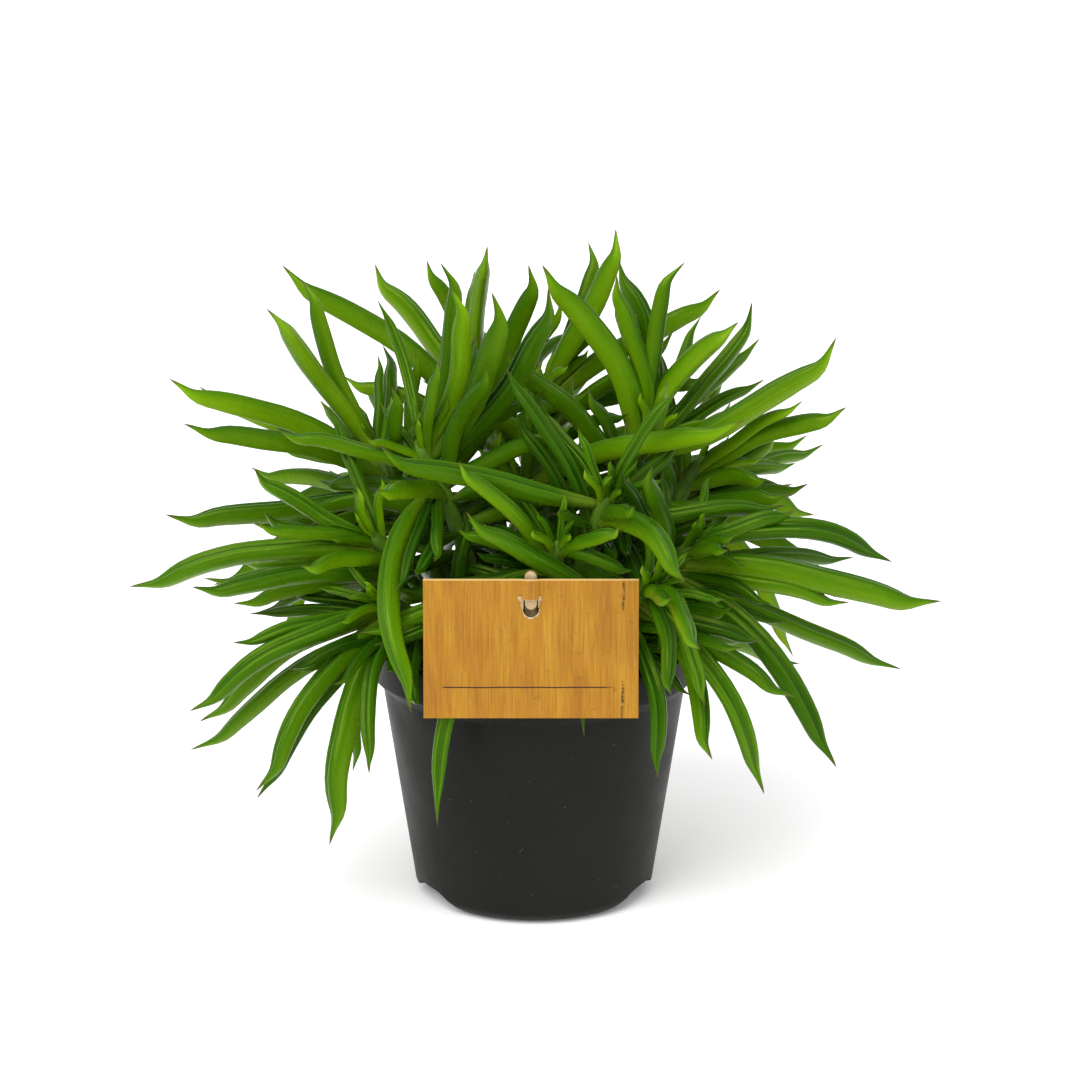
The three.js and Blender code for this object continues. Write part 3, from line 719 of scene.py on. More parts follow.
def makeSoil():
    sizes = soilSettings
    wall, gap, floorTop = potSettings["wall"], sizes["gap"], potSettings["floorTop"]
    top = sizes["top"] - sizes["hump"]
    bottom = floorTop + gap
    shoulder = shoulderBottom + potSettings["lipEdge"]
    shoulderRadius = bodyTopRadius - wall - sizes["shoulderGap"]
    outer = shoulderRadius + top - shoulder
    profile = [(0, bottom), (bodyRadius(floorTop) - wall - gap, bottom), (shoulderRadius, shoulder)]
    profile += [(r, top) for r in np.linspace(outer, 0, sizes["rings"])]
    soil = newPiece("soil_surface", *turnedSurface(profile, sizes["sides"]))
    mesh = soil.data
    place = np.empty(len(mesh.vertices) * 3)
    mesh.vertices.foreach_get("co", place)
    x, y, z = (place.reshape(-1, 3) / mm).T
    reach = np.hypot(x, y)
    barely, wallMargin = 0.01, 0.5
    onTop = (z > top - barely) & (reach < outer - wallMargin)
    level = np.clip((outer - reach) / sizes["levelEdge"], 0, 1)
    z[onTop] += (soilWaves(x, y) * level)[onTop]
    mesh.vertices.foreach_set("co", (np.column_stack([x, y, z]) * mm).ravel())
    isOpen = (z > top - sizes["hump"]) & (reach < outer - sizes["scatterMargin"])
    storeOnPoints(soil, "open", isOpen)
    mesh.materials.append(makeSoilMaterial("soil", *sizes["colours"]))
    tree = makeCrumbTree()
    for number, (name, density, smallest, largest, colours) in enumerate(sizes["scatters"]):
        applyTree(soil, tree, {
            "Density": density, "Smallest": smallest, "Largest": largest,
            "Seed": sizes["seed"] + number, "Material": makeSoilMaterial(name, *colours),
        })
    declare(soil, "soil")


makeSoil()
print("soil made")


# Label card and its stake

cardSettings = {
    "width": 76,
    "height": 49.9,
    "thickness": 0.6,
    "middle": (-1, -68.4, 87.6),  # middle of its lower edge
    "lean": 6.5,  # degrees, top towards the plant
    "slotWidth": 5.6,
    "slotTop": 7.4,  # below the card's top edge
    "slotHeight": 6.4,
    "slotEar": 0.9,  # small sideways cut at the slot's top corners
    "tongue": (4.0, 4.2),  # length and width of the punched strip, bent back behind the slot
    "earLeft": (1.9, 4.8),  # width and height of the torn paper at the slot's left and right
    "earRight": (1.1, 4.2),
    "scrapPrint": 0.55,  # share of the print's colour left on the torn paper
    "slotLip": 0.3,  # the torn paper begins this much inside the slot
    "bulge": 1.5,  # the strip over the stake stands this much proud
    "bulgeHalf": 3.0,  # and reaches this far to each side
    "bulgeEnd": 1.4,  # it dies away over this much below the slot
    "bulgeLoss": 0.3,  # share of it lost up to the card's top edge
    "grid": 0.8,
    "wood": [(0.3, (162, 102, 14)), (0.5, (182, 126, 18)), (0.7, (196, 144, 34))],
    # grain, pale streaks and smudges: how fine across and up, detail, roughness; fade; colour
    "layers": [
        ((150, 2.5, 3, 0.6), (0.42, 0.7, 0, 0.75), (146, 90, 10)),
        ((260, 4, 2, 0.6), (0.5, 0.75, 0, 0.4), (210, 156, 62)),
        ((16, 22, 3, 0.6), (0.62, 0.78, 0, 0.5), (112, 66, 8)),
    ],
    "paper": [(0.3, (214, 200, 168)), (0.7, (232, 222, 196))],  # its back
    "crack": (44, 24, 4),
    "crackEnd": 0.04,  # the dark marks fade out over this share of the height
    "edge": (236, 196, 124),  # painted highlight: a pale line along its top edge
    "topHighlightFade": (0.985, 0.992, 0, 0.7),
    "rule": (0.222, 0.006, 0.095, 0.84),  # printed line: height, half its width, start, end, as shares
    # dark marks of the print: place across, half width, low, high, strength
    "cracks": [
        (0.93, 0.008, 0.78, 1.0, 0.95), (0.925, 0.009, 0.02, 0.24, 0.95), (0.69, 0.003, 0.34, 0.7, 0.5),
        (0.185, 0.003, 0.28, 0.74, 0.4), (0.79, 0.002, 0.1, 0.96, 0.3), (0.375, 0.002, 0.3, 0.7, 0.35),
    ],
}
stakeSettings = {
    "width": 4.4,
    "thickness": 2.2,
    "length": 92,
    "lean": 9,  # degrees, top away from the plant
    "proud": 1.8,  # its round top shows this much above the card
    "point": 5,
    "edge": 0.35,
    "cardGap": 0.4,  # air between it and the card at the card's top
    "wood": [(0.3, (176, 140, 96)), (0.6, (214, 184, 140)), (0.8, (226, 202, 164))],
}
cardX, cardY, cardZ = cardSettings["middle"]
stakeTopZ = cardZ + cardSettings["height"] + stakeSettings["proud"]
stakeTopY = (cardY + cardSettings["height"] * math.tan(cardSettings["lean"] * degrees)
             + cardSettings["thickness"] / 2 + stakeSettings["cardGap"] + stakeSettings["thickness"] / 2)


# A point of the card's frame: across, up its face, and out of its front
def onCard(x, up, out):
    lean = cardSettings["lean"] * degrees
    back = up * math.sin(lean) - out * math.cos(lean)
    return cardX + x, cardY + back, cardZ + up * math.cos(lean) + out * math.sin(lean)


# Cuts a U-shaped slot with a small sideways cut at each of its top corners
def cutSlot(card, slotTop):
    bend, ear = cardSettings["slotWidth"] / 2, cardSettings["slotEar"]
    earStart, earTip = 0.7, 0.5  # below the slot's top
    low = slotTop - cardSettings["slotHeight"] + bend
    outline = [(bend * math.cos(a), low + bend * math.sin(a)) for a in np.linspace(-math.pi, 0, 17)]
    outline += [(bend, slotTop - earStart), (bend + ear, slotTop - earTip), (bend + ear, slotTop)]
    outline += [(-x, up) for x, up in reversed(outline[-3:])]
    vertices, faces = pushedOutline(outline, near=3, far=-2)
    cutOut(card, newPiece("slotCutter", [onCard(x, up, out) for x, out, up in vertices], faces))


def makeCard():
    sizes = cardSettings
    halfWide, tall = sizes["width"] / 2, sizes["height"]
    half = sizes["thickness"] / 2
    slotTop = tall - sizes["slotTop"]
    acrossShares = np.linspace(0, 1, int(sizes["width"] / sizes["grid"]) + 1)
    alongShares = np.linspace(0, 1, int(tall / sizes["grid"]) + 1)

    def bulge(x, up):
        proud = sizes["bulge"] * math.exp(-((x / sizes["bulgeHalf"]) ** 4))
        if up < slotTop:
            return proud * math.exp(-(((slotTop - up) / sizes["bulgeEnd"]) ** 2))
        return proud * (1 - sizes["bulgeLoss"] * (up - slotTop) / (tall - slotTop))

    def onSheet(across, along, side):
        x, up = (2 * across - 1) * halfWide, along * tall
        return onCard(x, up, side * half + bulge(x, up))

    # The tongue that was pushed in behind the slot
    def onTongue(across, along, side):
        length, width = sizes["tongue"]
        roundEnd, narrowest, back, halfPaper = 0.6, 0.02, 1.5, 0.15
        left = 1 - along
        wide = width / 2 * math.sqrt(max(narrowest, 1 - max(0, (roundEnd - along) / roundEnd) ** 2))
        out = sizes["bulge"] * 0.5 - back * left + side * halfPaper
        return onCard((2 * across - 1) * wide, slotTop + sizes["slotLip"] - length * left, out)

    # Torn paper beside the slot's top, curled up from the card and creased
    def onEar(towards, size):
        wide, high = size
        above, narrow, raised, halfPaper = 1.4, 0.45, 0.12, 0.1

        def place(across, along, side):
            share = across if towards > 0 else 1 - across
            reach = share * wide * (narrow + (1 - narrow) * along) * (1 + 0.25 * math.sin(9 * along))
            x = towards * (sizes["slotWidth"] / 2 - sizes["slotLip"] + reach)
            up = slotTop + above - high * (1 - along) + 0.5 * share * math.sin(5 * along + 1)
            curl = 0.75 * math.sin(share * math.pi * 0.9) + 0.3 * share * math.sin(14 * along + 2 * share)
            return onCard(x, up, half + raised + max(0.0, curl) + side * halfPaper)

        return place

    card = thinSheet("card_sheet", acrossShares, alongShares, onSheet)
    prints = [(across, along) for along in alongShares for across in acrossShares]
    layer = card.data.uv_layers.new(name="print")
    for loop in card.data.loops:
        layer.data[loop.index].uv = prints[loop.vertex_index % len(prints)]
    storeOnPoints(card, "front", [1] * len(prints) + [0] * len(prints))
    cutSlot(card, slotTop)
    scrapShares = np.linspace(0, 1, 7)
    scraps = [thinSheet("tongue", scrapShares, np.linspace(0, 1, 11), onTongue)]
    for name, towards in (("earLeft", -1), ("earRight", 1)):
        scraps.append(thinSheet(name, scrapShares, np.linspace(0, 1, 13), onEar(towards, sizes[name])))
    whole = len(card.data.vertices)
    joinPieces(card, scraps)
    for value in card.data.attributes["front"].data[whole:]:
        value.value = sizes["scrapPrint"]
    smooth(card, angle=30)
    card.data.materials.append(makeCardMaterial())
    declare(card, "label_card")


def makeStake():
    sizes = stakeSettings
    wide, length, half = sizes["width"] / 2, sizes["length"], sizes["thickness"] / 2
    outline = [(0, -length), (wide, sizes["point"] - length)]
    outline += [(wide * math.cos(a), wide * math.sin(a) - wide) for a in np.linspace(0, math.pi, 19)]
    outline += [(-wide, sizes["point"] - length)]
    vertices, faces = pushedOutline(outline, -half, half)
    leaning = []
    for x, y, z in vertices:
        back, up = turned(y, z, sizes["lean"])
        leaning.append((x + cardX, stakeTopY + back, stakeTopZ + up))
    stake = newPiece("stake_stick", leaning, faces)
    bevel = stake.modifiers.new("bevel", "BEVEL")
    bevel.width = sizes["edge"] * mm
    bevel.segments = 3
    bevel.limit_method = "ANGLE"
    bake(stake)
    smooth(stake, angle=30)
    stake.data.materials.append(makeWoodMaterial())
    declare(stake, "label_stake")


makeCard()
makeStake()
print("card and stake made")


# Growth of the plant: the same rule and numbers as the CAD model, so every leaf lies on its CAD leaf

plantSettings = {
    "stemRadius": 3.2,
    "stemHoleDepth": 18,
    "stemRoom": 0.8,  # leaves of other stems stay this much further off
    "stemBeads": 16,
    "stemPoints": 22,
    "stemRings": (0.04, 40),  # how far a stem narrows between its rings, as a share, and how close they are
    "budHeight": 6,  # the closed bud that ends a stem
    "bud": [(0.3, 0.88), (0.6, 0.62), (0.85, 0.3), (1, 0.04)],  # shares of its height and the stem's radius
    "leafGirth": 8.2,  # widest part of a full-grown pod leaf
    "leafStart": 2,
    "tipHook": 4,
    "hookPart": (0.78, 0.22),  # where along a leaf the hook begins, and how long it is
    "beadCount": 22,
    "beadGirth": 0.59,  # radius of a bead, as a share of the leaf's girth
    "rootBeads": 0.12,
    "airGap": 0.5,
    "bendStep": 0.035,
    "rearReach": 112,
    "goldenAngle": 137.5,
    "fillSeed": 41,
    "innerSeed": 77,
    "toneSeed": 9,
    "moreRoom": -1.2,  # the leaves beyond the CAD model's may press in among the others by this much
}

# How each kind of leaf grows. A pair is what the youngest leaf has and what age adds to it. In the inner
# leaves chance adds it, and share, their height on the stem, goes by number. Turns, rises and rolls are in
# degrees, and a fill leaf's turn is for each millimetre of its crown's x. Tones run from 0 to 1, the
# brightest. Tries are the rings of places that a leaf is tried in, and the shares of its length.
leafKinds = {
    "placed": {"sway": 3, "roll": 50, "tones": (0.2, 1), "tries": (9, [1, 0.92])},
    "fill": {
        "share": (1, -0.5), "turn": 7, "rise": (68, -80), "riseChance": 16, "length": (34, 50),
        "lengthChance": 8, "bow": (2, 7), "sway": 4, "roll": 50, "girth": (0.45, 0.55), "tones": (0.2, 1),
        "tries": (7, [1, 0.8, 0.6]),
    },
    "young": {  # small upright leaves round each crown, beyond the CAD model's
        "count": 7, "share": (1, -0.1), "turn": 40, "rise": (74, -34), "riseChance": 14,
        "length": (13, 19), "lengthChance": 5, "bow": (1, 2), "sway": 2, "roll": 60, "girth": (0.3, 0.2),
        "tones": (0.4, 1), "tries": (3, [1, 0.8]),
    },
    "inner": {  # shorter leaves low on each stem, beyond the CAD model's; their low tones are painted shade of the plant's middle
        "count": 22, "share": (0.25, 0.65), "turn": 60, "rise": (-15, 65), "length": (34, 32),
        "bow": (2, 4), "sway": 4, "roll": 70, "girth": (0.5, 0.4), "tones": (0, 0.35),
        "tries": (4, [1, 0.8]),
    },
}

# Each stem: where its crown is, how far in its foot stands (share of the crown's reach), how many
# leaves fill the crown, and its placed leaves, each of them as
# [height along the stem, tip x, tip y, tip z, bow, share of the full girth, bow sideways].
stemPlan = [
    ("stem_tall_left", (-40, -10, 170), 0.42, 8, [
        [0.85, -43, -76, 92, 16, 1.05, 8], [1, -34, 0, 238, -5, 0.85], [0.97, -30, -20, 233, -5, 0.95],
        [0.95, -15, -32, 234, -6, 1.15], [0.9, 5, -26, 234, -5, 1.1], [0.75, 1, -28, 165, 2, 0.85],
        [0.8, -35, -58, 142, 3, 0.6], [0.95, -57, 12, 222, -5, 0.65], [0.85, -50, -36, 175, 1, 0.55],
        [0.82, 14, -22, 184, 3, 0.85]]),
    ("stem_front", (26, -40, 160), 0.4, 8, [
        [0.96, -54, -56, 184, -3, 1.05], [0.85, 53, -80, 141, 13, 1.05],
        [1, 28, -53, 172, 1, 0.6], [1, 2, -24, 190, 1, 0.6], [0.8, 9, -57, 161, 1, 0.5]]),
    ("stem_left", (-57, -25, 141), 0.48, 8, [
        [0.9, -146, -30, 125, 9, 1.1], [0.72, -122, -48, 130, 3, 0.95], [0.66, -121, -8, 122, 4, 0.85],
        [0.7, -109, -24, 117, 5, 0.8], [0.84, -82, -62, 142, 3, 0.75], [1, -97, -26, 152, -3, 0.8],
        [0.95, -100, -30, 169, -3, 0.85], [1, -63, -46, 167, 1, 0.5]]),
    ("stem_right_front", (56, -30, 139), 0.5, 8, [
        [0.95, 129, -30, 134, 16, 1.1], [0.88, 146, -42, 123, 5, 1.2], [0.8, 118, 2, 127, 5, 0.8],
        [1, 93, -36, 155, 5, 0.85], [1, 71, -62, 153, 1, 0.55], [0.74, 135, -14, 89, 5, 0.95],
        [0.8, 108, -62, 67, 11, 1.2], [0.66, 88, 14, 118, 3, 0.65]]),
    ("stem_low_left", (-53, -36, 121), 0.5, 6, [
        [0.85, -73, -68, 40, 13, 1.15], [0.8, -58, -78, 70, 10, 0.8], [0.95, -123, -56, 86, 8, 1.05],
        [0.88, -121, -40, 77, 9, 0.95], [0.8, -126, -24, 61, 6, 0.85], [0.9, -99, -68, 60, 8, 0.95],
        [0.82, -100, -50, 51, 8, 0.95], [0.8, -66, -34, 56, 10, 0.7]]),
    ("stem_low_right", (41, -52, 131), 0.48, 6, [
        [0.85, 82, -68, 59, 13, 1.05], [0.9, 60, -80, 96, 8, 0.9], [1, 57, -112, 126, 6, 0.8],
        [0.95, 48, -84, 101, 6, 0.8], [0.72, 44, -68, 65, 8, 0.9]]),
    ("stem_upper_left", (-57, 14, 161), 0.5, 8, [
        [0.94, -132, -4, 196, 5, 1.05], [0.88, -125, -32, 186, 6, 1], [0.8, -135, -4, 145, 1, 1],
        [0.98, -96, -10, 223, 7, 1.05], [1, -85, 18, 228, 3, 0.9], [0.92, -80, 38, 178, 3, 0.7],
        [0.86, -124, 26, 186, 4, 0.85], [1, -58, 34, 196, 1, 0.5]]),
    ("stem_tall_right", (42, 6, 172), 0.42, 8, [
        [0.9, 3, 0, 237, 10, 1.2], [1, 30, 2, 233, 4, 0.85], [0.97, 31, 18, 235, 9, 0.95],
        [1, 31, 32, 220, 3, 0.6], [1, 55, 6, 237, -4, 0.8], [0.97, 62, 34, 211, -3, 0.65],
        [0.94, 80, 22, 219, -5, 0.85], [0.92, 74, -4, 217, 8, 1.15], [0.86, 84, 36, 202, 4, 0.8],
        [0.88, 109, -6, 212, -4, 1.1], [0.8, -10, -8, 208, 3, 0.95], [0.7, -26, 8, 190, 2, 0.9]]),
    ("stem_front_low", (8, -44, 142), 0.55, 8, [
        [0.9, -32, -69, 46, 12, 0.9, 12], [0.85, -62, -54, 113, 3, 0.95], [0.8, 18, -66, 80, 9, 0.5],
        [0.8, -27, -50, 152, 4, 0.7], [1, 35, -58, 139, 5, 0.7]]),
    ("stem_right", (60, 16, 157), 0.56, 8, [
        [0.95, 114, 2, 184, 5, 1], [0.92, 89, 20, 171, -2, 0.8], [0.88, 85, -2, 158, 5, 0.8],
        [0.8, 90, 44, 138, 6, 0.85], [0.9, 98, 36, 154, 4, 0.8]]),
    ("stem_back_left", (-20, 44, 176), 0.5, 8, [
        [0.9, -94, 50, 227, 5, 1.05], [0.95, -60, 66, 224, 3, 1], [1, -40, 48, 229, 5, 0.9],
        [1, -22, 44, 226, 2, 0.7], [0.97, -17, 26, 239, 6, 0.95], [0.93, -2, 26, 232, 1, 1]]),
    ("stem_back_right", (4, 36, 183), 0.5, 8, [
        [1, 32, 30, 244, -3, 1.05], [0.97, 20, 48, 236, -3, 0.8], [0.93, 70, 54, 217, 4, 1],
        [1, 13, 14, 197, 1, 0.5], [1, 24, 38, 207, 1, 0.45], [0.88, 67, 52, 185, 4, 0.95]]),
    ("stem_rear_left", (-48, 44, 150), 0.55, 12, [
        [0.9, -106, 76, 118, 9, 1.05], [0.82, -76, 92, 74, 13, 1.05], [0.78, -122, 46, 104, 8, 0.95],
        [0.95, -66, 100, 148, 6, 0.95], [0.86, -98, 66, 78, 12, 0.9]]),
    ("stem_rear_right", (48, 46, 150), 0.55, 12, [
        [0.9, 108, 74, 124, 9, 1.05], [0.82, 72, 94, 80, 13, 1.05], [0.78, 124, 44, 98, 8, 0.95],
        [0.95, 70, 98, 154, 6, 0.95], [0.86, 100, 64, 70, 12, 0.9]]),
    ("stem_rear", (0, 54, 144), 0.6, 12, [
        [0.9, -16, 98, 60, 14, 1.05], [0.82, 26, 100, 82, 12, 1], [0.95, 4, 110, 124, 7, 1.05],
        [0.86, -44, 104, 104, 9, 0.95], [0.88, 46, 106, 118, 8, 0.85]]),
    ("stem_middle", (-4, 6, 152), 0.4, 12, [[1, 78, -30, 188, 6, 1, 6]]),
]


# Seeded draws between 0 and 1
def drawer(seed):
    factor, step, size = 1664525, 1013904223, 2 ** 32
    state = [seed]

    def draw():
        state[0] = (state[0] * factor + step) % size
        return state[0] / size

    return draw


def unit(vectors):
    return vectors / np.linalg.norm(vectors, axis=-1, keepdims=True)


# The line of a stem above the soil, from 0 at the soil to 1 at its crown
def stemPoint(stem, share):
    crown = np.array(stem[1], dtype=float)
    aboveSoil, kneeOut, kneeUp = 3, 0.2, 0.55
    foot = np.array([crown[0] * stem[2], crown[1] * stem[2], soilSettings["top"] + aboveSoil])
    knee = foot + (crown - foot) * (kneeOut, kneeOut, kneeUp)
    rest = 1 - share
    return foot * rest * rest + knee * 2 * rest * share + crown * share * share


def stemAxis(stem, share):
    step = 0.05  # over which the direction is taken
    low = min(share, 1 - step)
    return unit(stemPoint(stem, low + step) - stemPoint(stem, low))


# Width of a pod leaf along its length, from its narrow root to its drawn-out point
def podShare(t):
    rootShare, full, taper, tipPower, tipBlunt = 0.34, 0.32, 0.6, 2.5, 0.85
    early = rootShare + (1 - rootShare) * np.sin(np.minimum(t / full, 1) * 90 * degrees)
    late = (1 - np.clip((t - taper) / (1 - taper), 0, 1) ** tipPower) ** tipBlunt
    return np.where(t < full, early, np.where(t < taper, 1.0, late))


# Frames of a leaf for several places of its tip: along, length, the way it bows, groove's facing, side
def leafFrames(leaf, tips):
    along = tips - leaf["root"]
    length = np.linalg.norm(along, axis=-1, keepdims=True)
    along = along / length
    lift = unit(leaf["axis"] - along * (along @ leaf["axis"])[:, None])
    side = np.cross(along, lift)
    roll = leaf["roll"] * degrees
    return along, length, lift, lift * math.cos(roll) + side * math.sin(roll), side


def leafPoints(leaf, frames, t):
    along, length, lift, face, side = (part[:, None, :] for part in frames)
    t = t[None, :, None]
    start, stretch = plantSettings["hookPart"]
    hooked = np.maximum(0, (t - start) / stretch) ** 2
    hook = plantSettings["tipHook"] * min(1, leaf["girth"] / plantSettings["leafGirth"])
    curve = 4 * t * (1 - t)
    points = leaf["root"] + along * length * t + (lift * leaf["bow"] + side * leaf["sway"]) * curve
    return points - face * hook * (t - hooked)


beadShares = np.arange(plantSettings["beadCount"]) / (plantSettings["beadCount"] - 1)


def leafBeads(leaf, tips):
    frames = leafFrames(leaf, tips)
    half = frames[1] / (plantSettings["beadCount"] - 1) / 2
    thick = plantSettings["beadGirth"] * leaf["girth"] * podShare(beadShares)
    return leafPoints(leaf, frames, beadShares), np.sqrt(thick[None, :] ** 2 + half ** 2)


def potRadius(z):
    shoulder = bodyTopRadius + (z - shoulderBottom)
    body = bodyRadius(np.maximum(z, 0))
    return np.where(z >= lipBottom, potSettings["rimRadius"], np.where(z >= shoulderBottom, shoulder, body))


# True where a bead would touch the pot, the soil, the floor, the card or the stake, or be too far back
def hitsHolder(beads, radius):
    x, y, z = beads[..., 0], beads[..., 1], beads[..., 2]
    reach = np.hypot(x, y)
    room = radius + plantSettings["airGap"]
    rim, top = potSettings["rimRadius"], potSettings["height"]
    hit = (z < room) | (y > plantSettings["rearReach"])
    outside = reach - potRadius(z) > room
    inside = (rim - potSettings["wall"] - reach > room) & (z - soilSettings["top"] > room)
    overRim = (np.hypot(reach - rim, z - top) > room) & (z > top)
    hit |= (z < top + room) & ~outside & ~inside & ~overRim
    high, thickness = cardSettings["height"], cardSettings["thickness"]
    lean = math.tan(cardSettings["lean"] * degrees)
    offX = np.maximum(0, np.abs(x - cardX) - cardSettings["width"] / 2)
    offY = y - (cardY + (z - cardZ) * lean)
    offZ = np.maximum(0, np.maximum(cardZ - z, z - cardZ - high))
    hit |= np.sqrt(offX ** 2 + offY ** 2 + offZ ** 2) < room + thickness / 2
    offY = y - (stakeTopY + (stakeTopZ - z) * math.tan(stakeSettings["lean"] * degrees))
    offZ = np.maximum(0, z - stakeTopZ)
    return hit | (np.sqrt((x - cardX) ** 2 + offY ** 2 + offZ ** 2) < room + stakeSettings["width"] / 2)


# All beads of what has grown: place, radius, share along the leaf, and number of the stem
class Thicket:
    def __init__(self):
        self.place = np.zeros((0, 3))
        self.radius = np.zeros(0)
        self.share = np.zeros(0)
        self.stem = np.zeros(0, dtype=int)

    def grow(self, place, radius, share, stem):
        self.place = np.vstack([self.place, place])
        self.radius = np.concatenate([self.radius, radius])
        self.share = np.concatenate([self.share, share])
        self.stem = np.concatenate([self.stem, np.full(len(place), stem)])


# Terms that make the product of two rows negative where their beads are closer than the share of the
# sum of their radii: one form for the beads on trial, and one for those in the way
def trialTerms(place, radius, share):
    square = (place ** 2).sum(-1) - (share * radius) ** 2
    return np.column_stack([place, share * radius, square, np.ones(len(place))])


def thicketTerms(place, radius, share):
    square = (place ** 2).sum(-1) - (share * radius) ** 2
    return np.column_stack([-2 * place, -2 * share * radius, np.ones(len(place)), square]).T


# Bends a leaf clear: tries its own place first, then places round it, further and further out.
# Leaves of one stem may press together, and meet at their roots.
def settle(leaf, stem, thicket, rings, tries, besideOwn, room=plantSettings["airGap"]):
    pressed, rootShare, beyond, batch, spokesPerRing = 0.55, 0.3, 45, 12, 6
    reach = np.linalg.norm(leaf["tip"] - leaf["root"]) + beyond
    near = ((thicket.place - leaf["root"]) ** 2).sum(1) < reach ** 2
    own = near & (thicket.stem == stem) & (thicket.share >= rootShare) & besideOwn
    others = near & (thicket.stem != stem)
    otherTerms = thicketTerms(thicket.place[others], thicket.radius[others] + room, 1)
    ownTerms = thicketTerms(thicket.place[own], thicket.radius[own], pressed)
    outer = beadShares >= rootShare
    along, length, lift, _, side = leafFrames(leaf, leaf["tip"][None, :])
    for shorter in tries:
        for ring in range(rings + 1):
            spokes = max(1, ring * spokesPerRing)
            angle = (np.arange(spokes) / spokes) * 360 * degrees
            aside = plantSettings["bendStep"] * ring
            bend = lift * (aside * np.cos(angle))[:, None] + side * (aside * np.sin(angle))[:, None]
            tips = leaf["root"] + unit(along + bend) * length * shorter
            beads, radius = leafBeads(leaf, tips)
            clear = ~(hitsHolder(beads, radius) & (beadShares > plantSettings["rootBeads"])).any(axis=1)
            trials = np.flatnonzero(clear)
            for start in range(0, len(trials), batch):
                some = trials[start:start + batch]
                terms = trialTerms(beads[some].reshape(-1, 3), radius[some].ravel(), 1)
                free = ((terms @ otherTerms).reshape(len(some), -1) >= 0).all(axis=1)
                outerBeads = beads[some][:, outer].reshape(-1, 3)
                terms = trialTerms(outerBeads, radius[some][:, outer].ravel(), pressed)
                free &= ((terms @ ownTerms).reshape(len(some), -1) >= 0).all(axis=1)
                if free.any():
                    first = some[np.argmax(free)]
                    thicket.grow(beads[first], radius[first], beadShares, stem)
                    return {**leaf, "tip": tips[first], "stem": stem}
    return None


def leafRoot(stem, share, tip):
    middle = stemPoint(stem, share)
    return middle + unit(tip - middle) * plantSettings["leafStart"]


# A random amount, up to half the spread either way
def either(draw, spread):
    return spread * (draw() - 0.5)


def grown(pair, amount):
    return pair[0] + pair[1] * amount


def newLeaf(stem, share, tip, bow, sway, roll, girth, kind):
    return {
        "root": leafRoot(stem, share, tip), "tip": tip, "axis": stemAxis(stem, share), "bow": bow,
        "sway": sway, "roll": roll, "girth": plantSettings["leafGirth"] * girth, "tones": kind["tones"],
    }


def placedLeaf(stem, row, draw):
    kind = leafKinds["placed"]
    share, x, y, z, bow, size = row[:6]
    sideBow = row[6] if len(row) > 6 else 0
    tip = np.array([x, y, z], dtype=float)
    sway = sideBow + either(draw, kind["sway"])
    return newLeaf(stem, share, tip, bow, sway, either(draw, kind["roll"]), size, kind)


# Where a leaf ends that leaves the stem at a turn about it and a rise from square to it
def raisedTip(stem, share, turn, rise, length):
    axis = stemAxis(stem, share)
    level = unit(np.array([axis[2], 0, -axis[0]]))
    angle = turn * degrees
    level = (level * math.cos(angle) + np.cross(axis, level) * math.sin(angle)
             + axis * (axis @ level) * (1 - math.cos(angle)))
    way = level * math.cos(rise * degrees) + axis * math.sin(rise * degrees)
    return stemPoint(stem, share) + way * length


# Leaves that fill a crown: round the stem by the golden angle, the youngest short and upright
def fillLeaf(stem, number, draw):
    kind = leafKinds["fill"]
    age = 1 - number / stem[3]
    share = grown(kind["share"], age)
    turn = number * plantSettings["goldenAngle"] + stem[1][0] * kind["turn"]
    rise = grown(kind["rise"], age) + either(draw, kind["riseChance"])
    length = grown(kind["length"], math.sqrt(age)) + either(draw, kind["lengthChance"])
    bow = grown(kind["bow"], age * draw())
    sway, roll = either(draw, kind["sway"]), either(draw, kind["roll"])
    tip = raisedTip(stem, share, turn, rise, length)
    return newLeaf(stem, share, tip, bow, sway, roll, grown(kind["girth"], math.sqrt(age)), kind)


def youngLeaf(stem, number, draw):
    kind = leafKinds["young"]
    age = number / kind["count"]
    share = grown(kind["share"], age)
    turn = number * plantSettings["goldenAngle"] + kind["turn"] * draw()
    rise = grown(kind["rise"], age) + either(draw, kind["riseChance"])
    length = grown(kind["length"], age) + kind["lengthChance"] * draw()
    sway, roll = either(draw, kind["sway"]), either(draw, kind["roll"])
    tip = raisedTip(stem, share, turn, rise, length)
    return newLeaf(stem, share, tip, grown(kind["bow"], age), sway, roll, grown(kind["girth"], age), kind)


def innerLeaf(stem, number, draw):
    kind = leafKinds["inner"]
    share = grown(kind["share"], number / kind["count"])
    turn = number * plantSettings["goldenAngle"] + kind["turn"] * draw()
    rise, length, bow = (grown(kind[name], draw()) for name in ("rise", "length", "bow"))
    sway, roll = either(draw, kind["sway"]), either(draw, kind["roll"])
    tip = raisedTip(stem, share, turn, rise, length)
    return newLeaf(stem, share, tip, bow, sway, roll, grown(kind["girth"], draw()), kind)


